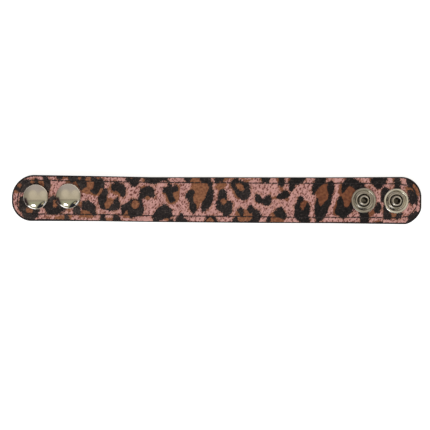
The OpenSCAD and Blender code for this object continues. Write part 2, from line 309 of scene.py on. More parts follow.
# Leopard print, charted in the strap's plan: each spot is the walk round its border
BLACK_SPOTS = [
    # cap end to the slope
    [(-113.9, 4.6), (-112.5, 8), (-110, 10.4), (-108.2, 11.6), (-107.6, 10.2), (-104.3, 10.2),
     (-103.6, 8.6), (-101.9, 8.2), (-101.6, 10.8), (-100.2, 10.9), (-99.5, 9.8), (-99.3, 8.2), (-98.8, 7.4),
     (-101, 6), (-106, 4), (-107.8, 3), (-108.5, 2.6), (-109.9, 2.8), (-110.6, 3.6), (-112.5, 4.5)],
    [(-96.7, 12.8), (-94.8, 12.8), (-94.5, 11.2), (-93.6, 10.3), (-92.9, 9.8), (-92.7, 7.5), (-92.8, 5.6),
     (-93.8, 4), (-94.1, 2), (-94.6, 0.2), (-95.6, 3), (-96.4, 6), (-96.4, 8), (-96.6, 10), (-96.9, 11)],
    [(-89.1, 12.8), (-85.4, 12.8), (-86.1, 11.2), (-87.2, 10.4), (-88.9, 10.3), (-89.3, 11.2)],
    [(-109.8, 0.6), (-108.6, 0.9), (-107.3, 0), (-104, -4), (-100, -5), (-98.9, -5.2), (-98.6, -7),
     (-99.4, -8.6), (-99.6, -9.8), (-100.1, -11), (-102, -11.9), (-105.8, -12.2), (-107.4, -11.4),
     (-107.9, -10), (-108.6, -8.4), (-109.7, -7.1), (-110.1, -6.1), (-110, -5), (-110.3, -2)],
    [(-94.2, -1.2), (-92.8, 0.2), (-91.2, 1.4), (-90.2, 1.6), (-89.5, 0.2), (-88.6, -2.5), (-87, -4.8),
     (-84.5, -5.7), (-83.9, -6.2), (-85.2, -7.4), (-87.5, -8.3), (-89, -8.9), (-92, -9.1), (-94, -8.9),
     (-95.1, -7.8), (-95.6, -6.4), (-96.8, -5), (-96.5, -3.8), (-95, -2.4)],
    [(-84.9, -9.4), (-84.2, -9.1), (-83.1, -9.4), (-82.4, -10.4), (-82, -11.8), (-82.6, -12.2),
     (-85, -12.1), (-85.2, -10.6)],
    [(-83.4, 12.9), (-77.4, 12.9), (-77.5, 10.6), (-76, 10.3), (-75.7, 11.6), (-74.6, 12), (-73.4, 12.1),
     (-73.2, 11.4), (-73.5, 10.4), (-72.6, 9.6), (-72.8, 8.2), (-72.4, 6.4), (-72.8, 5.5), (-73.5, 5.9),
     (-74.6, 5.2), (-74.9, 4.6), (-76.2, 4.8), (-77.2, 6.2), (-78, 7.6), (-78.3, 9), (-79.2, 9.6),
     (-79.9, 8.6), (-81.2, 8.5), (-82, 9.2), (-82.4, 10.4), (-83.1, 11.4)],
    [(-69.9, 12.8), (-68.2, 12.8), (-67.8, 11.4), (-67, 10.7), (-66.2, 10.6), (-65.5, 11.2), (-64.6, 11.7),
     (-64, 10.6), (-63.2, 10.1), (-62.9, 9), (-63, 7.4), (-63.1, 6.1), (-64, 5.7), (-65, 5.2), (-65.6, 4),
     (-66.2, 2.7), (-67.2, 2), (-68.6, 2.3), (-70.4, 3.4), (-71.1, 4.2), (-70.9, 4.8), (-69.6, 5),
     (-69, 5.8), (-68.9, 7.2), (-68.4, 8.6), (-68.9, 9.2), (-70.2, 9.8), (-70.3, 11)],
    [(-63.6, 5.3), (-62, 5.5), (-61, 5.4), (-60.8, 4), (-61.3, 2.4), (-61.6, 0.6), (-61.3, -0.8),
     (-62, -2.2), (-62.7, -3), (-62.3, -4.2), (-61.5, -5.5), (-60.6, -5.5), (-59.6, -4.4), (-58.9, -3.3),
     (-58, -2.2), (-57.4, -0.8), (-56.6, 0.3), (-55.6, 0.9), (-55.1, 0.3), (-54.8, -1.2), (-54.3, -2.8),
     (-54.3, -4.2), (-54.9, -5.6), (-56.4, -6.6), (-58, -7), (-60.4, -7), (-61.8, -6.3), (-63.4, -5.9),
     (-64.8, -5.6), (-65.3, -4.4), (-66, -2.6), (-66.3, -1), (-66, 0.8), (-65, 2.5), (-64, 4.2)],
    [(-59.2, 8.2), (-58, 8), (-57.4, 9), (-56.6, 9.5), (-55.6, 9.3), (-54.8, 8.6), (-53, 8.2), (-51.9, 7.8),
     (-51.3, 6.2), (-51, 4.4), (-51.2, 2.8), (-51.4, 1.4), (-52.4, 0.8), (-53.4, 1), (-54, 2), (-54.7, 2.8),
     (-55.4, 3.8), (-56.2, 4.2), (-57, 3.5), (-58.4, 4.4), (-59.3, 5.6), (-59.4, 6.4), (-58.6, 7.4)],
    [(-51.7, 12.8), (-43, 12.8), (-43.1, 11.2), (-43.7, 10.2), (-43.8, 9), (-44.6, 8), (-45.6, 7),
     (-46.4, 6.8), (-47.2, 6.9), (-47.9, 7.2), (-48.4, 8.2), (-49.2, 9), (-50, 9.3), (-51, 9.9),
     (-51.4, 11.2)],
    [(-43.3, 3.2), (-43.2, 4.6), (-42.6, 5.4), (-42.1, 6.2), (-41, 6.2), (-40.2, 6.6), (-39.4, 7.1),
     (-38.6, 7.1), (-37.4, 6.7), (-36.6, 6.5), (-36.2, 5.8), (-35.4, 5.5), (-35.2, 4.4), (-35.5, 3),
     (-35.1, 2), (-35.3, 1.1), (-36.6, 0.9), (-37.6, 1), (-38.2, 1.5), (-39, 1.7), (-39.7, 1.3),
     (-40.3, 0.6), (-41.2, 0.1), (-42, -0.4), (-42.1, -1.2), (-41.6, -2.6), (-41.3, -4.4), (-40.8, -5.6),
     (-40.8, -6.6), (-41.3, -7.4), (-41.6, -8.2), (-42.3, -9.1), (-43.2, -9.8), (-45.2, -10),
     (-46.4, -10.3), (-47.4, -10.9), (-48.6, -10.8), (-49.2, -9.4), (-49.9, -8.6), (-50.2, -7.6),
     (-50.2, -6.8), (-50.7, -6.9), (-51.2, -7.8), (-51.8, -8.7), (-53, -8.8), (-53.5, -7.6), (-53.6, -5.4),
     (-53.4, -3.8), (-52.4, -3.4), (-51.2, -2.6), (-50.2, -2.1), (-49.3, -1.9), (-48.5, -1.1),
     (-47.8, -0.4), (-46.8, -0.2), (-45.9, -0.5), (-44.8, -0.4), (-44, 0), (-43.7, 1.2)],
    [(-74.9, -1.2), (-74.2, -1.9), (-73, -1.9), (-72.2, -1.3), (-71, -1.3), (-70.2, -2), (-69, -3),
     (-68, -3.6), (-67.6, -5), (-67.5, -7.4), (-67.4, -9.4), (-68.4, -9.8), (-69.6, -9), (-70.8, -7.8),
     (-71.8, -7.1), (-73.6, -6.9), (-75.2, -6.3), (-75.3, -5), (-75.1, -3)],
    [(-79.8, -4.6), (-78.4, -4), (-77, -4.2), (-76, -4.6), (-75.7, -6), (-75.9, -8.2), (-76.6, -8.9),
     (-79, -9), (-80, -8), (-80.3, -6.6)],
    [(-64.9, -9), (-63.2, -8.7), (-62.5, -9.2), (-62.4, -10.2), (-62, -11), (-61.6, -12.6), (-65.4, -12.6),
     (-65.2, -11.2), (-64.6, -10.4), (-64.8, -9.8)],
    [(-58.1, -12.6), (-58.2, -10.4), (-57.6, -9.2), (-56.4, -9), (-55.4, -9.6), (-54.8, -10.4),
     (-53.8, -11.2), (-53.1, -12.6)],
    # middle of the cap half
    [(-41.5, 12.8), (-41.2, 11.6), (-40.5, 10.6), (-40.4, 9.6), (-39.9, 9), (-38.6, 8.7), (-37, 8.5),
     (-35.4, 8.4), (-33.8, 8.9), (-32.7, 9.6), (-31.4, 10.1), (-29.6, 10.2), (-28.4, 9.8), (-27.4, 9.4),
     (-27, 9.8), (-27.6, 10.4), (-28.1, 11.4), (-28.2, 12.8)],
    [(-27.4, 9.2), (-26.8, 8.8), (-26.4, 8), (-25.4, 7.6), (-25, 6.9), (-24.4, 7.2), (-23.6, 7.8),
     (-22.7, 7.9), (-21.9, 6.8), (-21.7, 5.4), (-22, 4.2), (-23.8, 4), (-24.5, 3.4), (-24.6, 2.6),
     (-24, 1.9), (-23.9, 1), (-23.6, 0.2), (-22.8, -0.4), (-22.9, -1), (-24, -1.6), (-25, -2.3),
     (-26, -2.4), (-26.8, -1.9), (-27.4, -0.8), (-27.9, 0.4), (-28.2, 1.8), (-29, 2.8), (-29.8, 3.3),
     (-30.8, 3.8), (-30.6, 4.8), (-30.3, 5.8), (-29.4, 6.4), (-28.4, 6.8), (-27.4, 7.4), (-27.6, 8.4)],
    [(-17.6, 1.6), (-17.4, 2.9), (-16.5, 3.7), (-15.8, 4.9), (-14.6, 5.6), (-13.3, 5.4), (-12.3, 4.5),
     (-12.4, 3.4), (-13.2, 2), (-13.3, 0.2), (-13, -1.2), (-12.9, -1.9), (-11.9, -2.4), (-11.4, -3.5),
     (-11.1, -5.1), (-11.7, -6.5), (-12.6, -7.6), (-13.4, -8.1), (-14.3, -7.2), (-15.2, -6.1),
     (-15.5, -4.6), (-15.5, -2.4), (-15.8, -1.1), (-16.5, -0.3), (-17.3, 0.3)],
    [(-18.5, 12.8), (-18.3, 11), (-18, 10.2), (-17.4, 9.4), (-16.2, 9.2), (-15.3, 9.8), (-14.9, 10.4),
     (-14.2, 11.4), (-13.6, 12.8)],
    [(-9.6, 12.8), (-3.5, 12.8), (-3.6, 10.8), (-3.4, 9.8), (-2.8, 9.2), (-2.8, 8), (-3.1, 6.7),
     (-2.5, 5.8), (-2.3, 4.2), (-2.2, 2.2), (-2.1, 0.6), (-2.6, -1), (-3.2, -2.4), (-4.2, -4), (-5.2, -5.4),
     (-6.4, -6.4), (-7.6, -7.3), (-8.4, -6.9), (-9.1, -5.8), (-8.9, -4.2), (-8.3, -2.6), (-8.2, -1.2),
     (-7.2, 0.2), (-6.7, 1.4), (-6.2, 2.8), (-5.7, 4.4), (-5, 5.6), (-4.5, 6.4), (-5.2, 7.4), (-5.7, 8.7),
     (-6.6, 9), (-8.4, 9.2), (-9.2, 10), (-9.9, 10.8)],
    [(-1, 12.8), (4.4, 12.8), (3.8, 11.4), (3.3, 10.2), (1.6, 9.5), (0.6, 9), (-0.8, 8.9), (-1.3, 9.4),
     (-1.4, 11)],
    [(-35.9, -12.7), (-36, -10.8), (-36.1, -9.4), (-35.2, -8.2), (-34.4, -6.8), (-33.4, -5.8),
     (-32.6, -4.6), (-31.2, -3.9), (-30.2, -3.2), (-29, -2.8), (-28, -3.6), (-27.2, -4.4), (-26, -5.4),
     (-25.3, -6.2), (-25, -7.8), (-25.2, -9.6), (-26.4, -10.6), (-27, -11.2), (-28, -10.8), (-29.2, -11.4),
     (-30.8, -11.6), (-32.2, -11.8), (-33, -12.7)],
    [(-27.4, -12.7), (-27.2, -11.6), (-26, -11), (-25, -10.9), (-24.6, -11.8), (-24.4, -12.7)],
    [(-20.8, -8.4), (-20, -7.8), (-19.2, -8.2), (-18.7, -9.2), (-18.9, -10.2), (-18.4, -11), (-17, -11.4),
     (-16.4, -12), (-16.4, -12.8), (-23.2, -12.8), (-23.1, -11.2), (-22.4, -10.4), (-21.4, -9.8),
     (-20.9, -9.2)],
    [(-7, -12.8), (-6.6, -11.4), (-6.3, -10.2), (-5, -9.4), (-3, -9.4), (-1.2, -9.6), (-0.7, -10.4),
     (-0.1, -11.6), (0.2, -12.9)],
    # middle of the stud half
    [(1.6, 5.3), (2.6, 5.8), (4, 5.8), (4.8, 5), (5.2, 3.4), (5.4, 1.6), (5.4, 0.2), (5.5, -0.6),
     (6.4, -0.8), (7.6, -0.8), (8.2, -1.8), (8.4, -3.6), (8.2, -5.2), (8, -7), (7.6, -8.3), (6.4, -8.8),
     (5.6, -9.6), (4.8, -9.9), (4.2, -9.2), (3.6, -8.4), (2.8, -7.4), (1.8, -6.6), (0.6, -6.2), (-0.2, -5),
     (-0.7, -3.2), (-0.4, -1.4), (0.2, 0), (0.4, 1.6), (0.8, 3.4), (1.1, 4.6)],
    [(8, 10.2), (8.4, 11), (9.4, 11.6), (10.8, 11.9), (11.8, 11.6), (12.6, 10.9), (13.4, 10.4), (14.4, 9.6),
     (15.6, 9.5), (16.8, 9.6), (17.4, 9), (18.2, 7.8), (18.4, 6), (18.5, 3.6), (18.3, 1.8), (17.5, 1.1),
     (16.2, 0.2), (14.6, -0.4), (13.6, 0.2), (12.6, 0.6), (11.6, 1.4), (10.6, 2.4), (10.2, 3.6), (9.8, 4.8),
     (8.9, 5.6), (8.2, 6.6), (7.7, 7.6), (7.6, 8.8)],
    [(8.6, -12.9), (8.9, -11.2), (9.3, -10.2), (10.2, -9.8), (11.2, -9.9), (11.6, -10.8), (12, -11.8),
     (13, -12.4), (13.2, -12.9)],
    [(12, -5), (13.1, -4.2), (13.9, -4.4), (14.7, -5.5), (15.4, -6.5), (15.3, -8.2), (14.6, -9.4),
     (13.7, -10.1), (12.9, -9.1), (12.2, -7.8), (11.5, -6.6), (11.3, -5.9)],
    [(17, -5.6), (17.4, -4.4), (18.4, -3.3), (19.4, -3), (20, -3.8), (20.6, -4.6), (21.2, -5.4), (22.2, -6),
     (23.4, -6), (24, -7.2), (24.6, -8.6), (24.8, -9.8), (24.2, -10.8), (23.6, -11.6), (23.2, -12.9),
     (13.6, -12.9), (15.6, -12.3), (17.8, -12.2), (18.9, -11.4), (19.6, -10.2), (19.8, -8.8), (19.2, -7.9),
     (18.2, -7.9), (17.4, -7), (16.9, -6.4)],
    [(24.2, 12.8), (24.6, 11.2), (25.1, 10.4), (25.6, 9.5), (27.2, 9.3), (28.6, 9.5), (28.8, 10.4),
     (29.3, 11.4), (29.9, 12.8)],
    [(34.4, 12.8), (34.3, 11.2), (34.2, 9.6), (34.3, 8.6), (34.9, 7.6), (35.6, 7), (36.4, 7.2), (37.2, 8),
     (37.6, 9), (37.9, 10.4), (37.7, 11.4), (37.9, 12.8)],
    [(40.9, 12.8), (40.6, 11.4), (40.1, 10.2), (40.1, 8.4), (40, 6.6), (40.3, 5.2), (41, 4.3), (41.8, 4.6),
     (42.6, 5.6), (43.3, 6.6), (43.4, 7.8), (44, 8.6), (45, 8.4), (46, 9), (47.2, 9.5), (47.9, 10.2),
     (48.6, 11), (49.2, 11.9), (49.4, 12.8)],
    [(21.4, 1.8), (21.7, 2.8), (22.2, 3.3), (23, 2.8), (23.9, 2.2), (24.6, 1.4), (25.2, 0.5), (25.9, 0.6),
     (26.7, 1.4), (27.4, 2), (28.4, 2.2), (29.3, 2.6), (29.9, 2.3), (30.2, 1.2), (30.4, -0.4), (30.3, -1.8),
     (29.6, -2.6), (28.6, -3.1), (28.1, -3.7), (27, -2.9), (25.6, -2.4), (24.2, -2.1), (22.8, -1.9),
     (22, -1.2), (21.5, -0.2)],
    [(32.8, 1.4), (33.8, 2.6), (35, 3.6), (36.2, 4.4), (37.2, 5.2), (38.2, 5.2), (39.2, 4.8), (40, 4),
     (40.5, 2.8), (40, 1.8), (38.8, 1), (37.6, 0.5), (36.4, 0.3), (35.4, 0.1), (34.4, 0.3), (33.2, 0.4)],
    [(34, -4.4), (35.2, -4.2), (36.2, -3.9), (36.9, -4.8), (37.6, -6), (38.3, -7.2), (38.8, -8.6),
     (38.5, -9.8), (37.8, -10.6), (36.9, -11.3), (36.2, -10.8), (35, -10.2), (33.6, -9.9), (32.8, -9.4),
     (32.2, -8.4), (31.6, -7.2), (32.2, -6.4), (33.2, -5.8), (33.2, -5)],
    [(27.6, -12.9), (27.6, -11.2), (27.8, -9.9), (28.8, -9.4), (30, -9.5), (30.4, -10.4), (30, -11.6),
     (30, -12.9)],
    [(44.6, -1), (45.1, 0.4), (45.7, 1.5), (46.6, 1.9), (47.9, 1.8), (48.3, 1), (48.1, 0), (48.2, -0.6),
     (49.4, -0.9), (50.4, -1.5), (51.2, -1.4), (51.4, -2.2), (51.8, -3.4), (51.8, -5.6), (51.6, -7.4),
     (51.3, -9), (51.6, -10.6), (51.9, -12), (51.9, -12.9), (46.8, -12.9), (46.2, -12), (45, -11.3),
     (44.2, -10.6), (43.6, -9.6), (43.2, -8.6), (43.4, -6.8), (43.7, -5.4), (43.4, -3.6), (43.6, -2.4),
     (44.4, -2.2)],
    # slope to the stud end
    [(55.4, 12.9), (60.6, 12.9), (60.9, 12), (60.6, 10.8), (60.2, 10.2), (60.2, 9.6), (59.4, 8.8),
     (58.2, 7.8), (57.2, 7.2), (56.6, 6.4), (55.8, 5.4), (54.9, 4.2), (54.4, 3.2), (53.8, 2.6), (53.3, 3.6),
     (53, 5), (53.2, 7), (53.7, 8.6), (54.2, 9.6), (54.6, 10.2), (55, 11.2)],
    [(61.8, 9.4), (62.2, 10.2), (63.6, 10.8), (64.6, 10.6), (65, 9.4), (65.4, 8.4), (65.6, 7), (65.4, 5.8),
     (64.9, 4.6), (64.4, 3), (64, 1.2), (63.8, -0.8), (63.6, -2), (62.8, -3.4), (62.2, -4.2), (61.8, -6),
     (61.5, -7.2), (60.8, -8.2), (60.2, -9.4), (59.4, -10.4), (58.4, -11.4), (57.2, -12.2), (57, -12.9),
     (55.9, -12.9), (55.8, -11.4), (55.3, -10.4), (55.2, -8.8), (54.6, -7), (54.3, -5.4), (54.6, -3.6),
     (55, -2), (55.4, -0.6), (55.6, 0.8), (56.2, 1.4), (56.7, 0.8), (56.9, -0.4), (56.9, -2), (57.6, -3.1),
     (58.2, -3.3), (58.9, -2.4), (59.7, -1.4), (60.3, -0.6), (61.2, -0.2), (61.8, 1), (62.1, 2.4),
     (62.1, 3.8), (61.6, 5.4), (61.2, 6.8), (61.5, 8.2)],
    [(72, 12.9), (75.8, 12.9), (76.6, 11.9), (78.8, 11.2), (79.5, 10.2), (80.6, 9.8), (82, 9.4),
     (82.4, 8.2), (83.2, 7), (82, 6), (78, 5.6), (77, 5.4), (76.6, 6.4), (75.6, 6.9), (74.6, 7.6),
     (73.2, 7.4), (72.6, 6.4), (72.2, 5.6), (71.2, 4.6), (70.6, 3.8), (69.9, 3.6), (69.4, 4.6), (69.4, 6.6),
     (69.6, 8.8), (70.4, 9.9), (71.2, 10.9), (71.8, 12)],
    [(69.8, 2), (70.3, 0.6), (71, -0.6), (71.1, -2.8), (71.5, -3.8), (73, -3.8), (73.6, -3.2), (74, -1.8),
     (74.6, -1), (75.2, -1), (75.4, -2.2), (75.8, -3.6), (76.6, -5), (75.8, -6.2), (74.6, -7.2),
     (73.4, -8.2), (72.4, -9.4), (71.2, -10.4), (69.8, -10.2), (69, -9.4), (68.2, -8.7), (66.8, -8.3),
     (65.9, -7.4), (65.6, -6.2), (66, -5), (66.4, -3.8), (67, -2.8), (67.1, -1.2), (67.3, 0.2), (68, 1.4),
     (69, 2)],
    [(79.2, -6), (79.5, -7.2), (79.9, -8.6), (79.8, -9.8), (80.2, -10.8), (79.9, -11.8), (80.1, -12.9),
     (83.6, -12.9), (84.6, -11.8), (84.9, -10.6), (85.2, -9.4), (85.1, -8.4), (84.6, -7.4), (84.4, -6.4),
     (82, -5.5)],
    [(87.2, -13.4), (87.4, -12.4), (88.6, -12.2), (89.6, -12.4), (90.8, -12), (92.4, -11.8), (92.9, -12.4),
     (93, -13.4)],
    [(85.9, 12.9), (94.6, 12.9), (94.7, 11.8), (94.2, 10.6), (94.4, 9.8), (93.6, 9.2), (92.8, 8.6),
     (92.6, 7.6), (91.4, 6.9), (90.4, 6.3), (89.4, 6.4), (88.6, 7.4), (87.4, 8.2), (86.6, 9.2), (86, 10),
     (85.9, 11.2)],
    [(88.9, -2.6), (89.3, -1.4), (90, -1), (91, -1.3), (91.5, -2.2), (91.8, -3.6), (91.5, -5), (91, -6.4),
     (90.4, -7.2), (89.2, -7.3), (88.2, -6.8), (87.6, -5.6), (87.4, -5), (88, -4.4)],
    [(92.2, 6.6), (92.8, 7.2), (94, 7.4), (95, 7), (96, 6.2), (96.8, 5.6), (95, 3), (94, 0), (94.4, -3),
     (95.5, -5), (96.4, -6.2), (97.4, -7.2), (97.8, -8.4), (97.6, -9.8), (96.6, -10.6), (95.6, -10.9),
     (94.4, -10.5), (93.4, -10.4), (93, -9.2), (92.9, -7.6), (93.3, -6), (93.5, -4.4), (93.3, -2.6),
     (93.4, -1.6), (92.6, -0.9), (91.8, -0.4), (91.5, 0.8), (91.7, 2.6), (91.6, 4.4)],
    [(98.5, 12.9), (98.9, 11.4), (98.7, 10), (99.3, 9.2), (99.4, 8), (98.9, 7), (99.4, 6.4), (101.6, 6.4),
     (102.2, 7.2), (102.2, 8.4), (102.6, 9.4), (102.4, 10.8), (101.9, 11.8), (101.9, 12.9)],
    [(106.1, 13.1), (105.8, 11.6), (105.9, 10.4), (105.7, 9.4), (106.2, 8.4), (107.2, 7.8), (106.4, 7),
     (106.2, 5.6), (107, 3), (107.4, 0), (107.8, -1.4), (108.4, -2.2), (109.2, -2.8), (110.2, -2),
     (110.6, -1.2), (111, -1.6), (111.8, -1.4), (112, 0), (112.2, 1), (112.3, 2.2), (111.9, 3.2),
     (111.4, 3.6), (110.9, 4.8), (110.9, 5.8), (110.2, 6.8), (109.4, 7.8), (109.2, 8.6), (109.8, 9.4),
     (110.8, 9.3), (111.8, 9.4), (111, 11.2), (109, 12.8)],
    [(111, -6), (110.2, -6.2), (109.4, -7), (108.2, -7.8), (107, -8.6), (106.6, -9.4), (106.8, -10.4),
     (106.6, -11.4), (105.8, -12.2), (105.6, -13), (109, -12.4), (112, -9.4), (113.6, -6.9), (112.6, -6.4)],
    [(100.6, -7.2), (102.4, -7), (103.8, -6.9), (103.8, -7.8), (103.2, -8.6), (102.9, -9.6), (102.4, -10.2),
     (101.2, -10.3), (99.8, -10.6), (99.4, -9.8), (99.8, -8.6), (100.3, -7.8)],
]

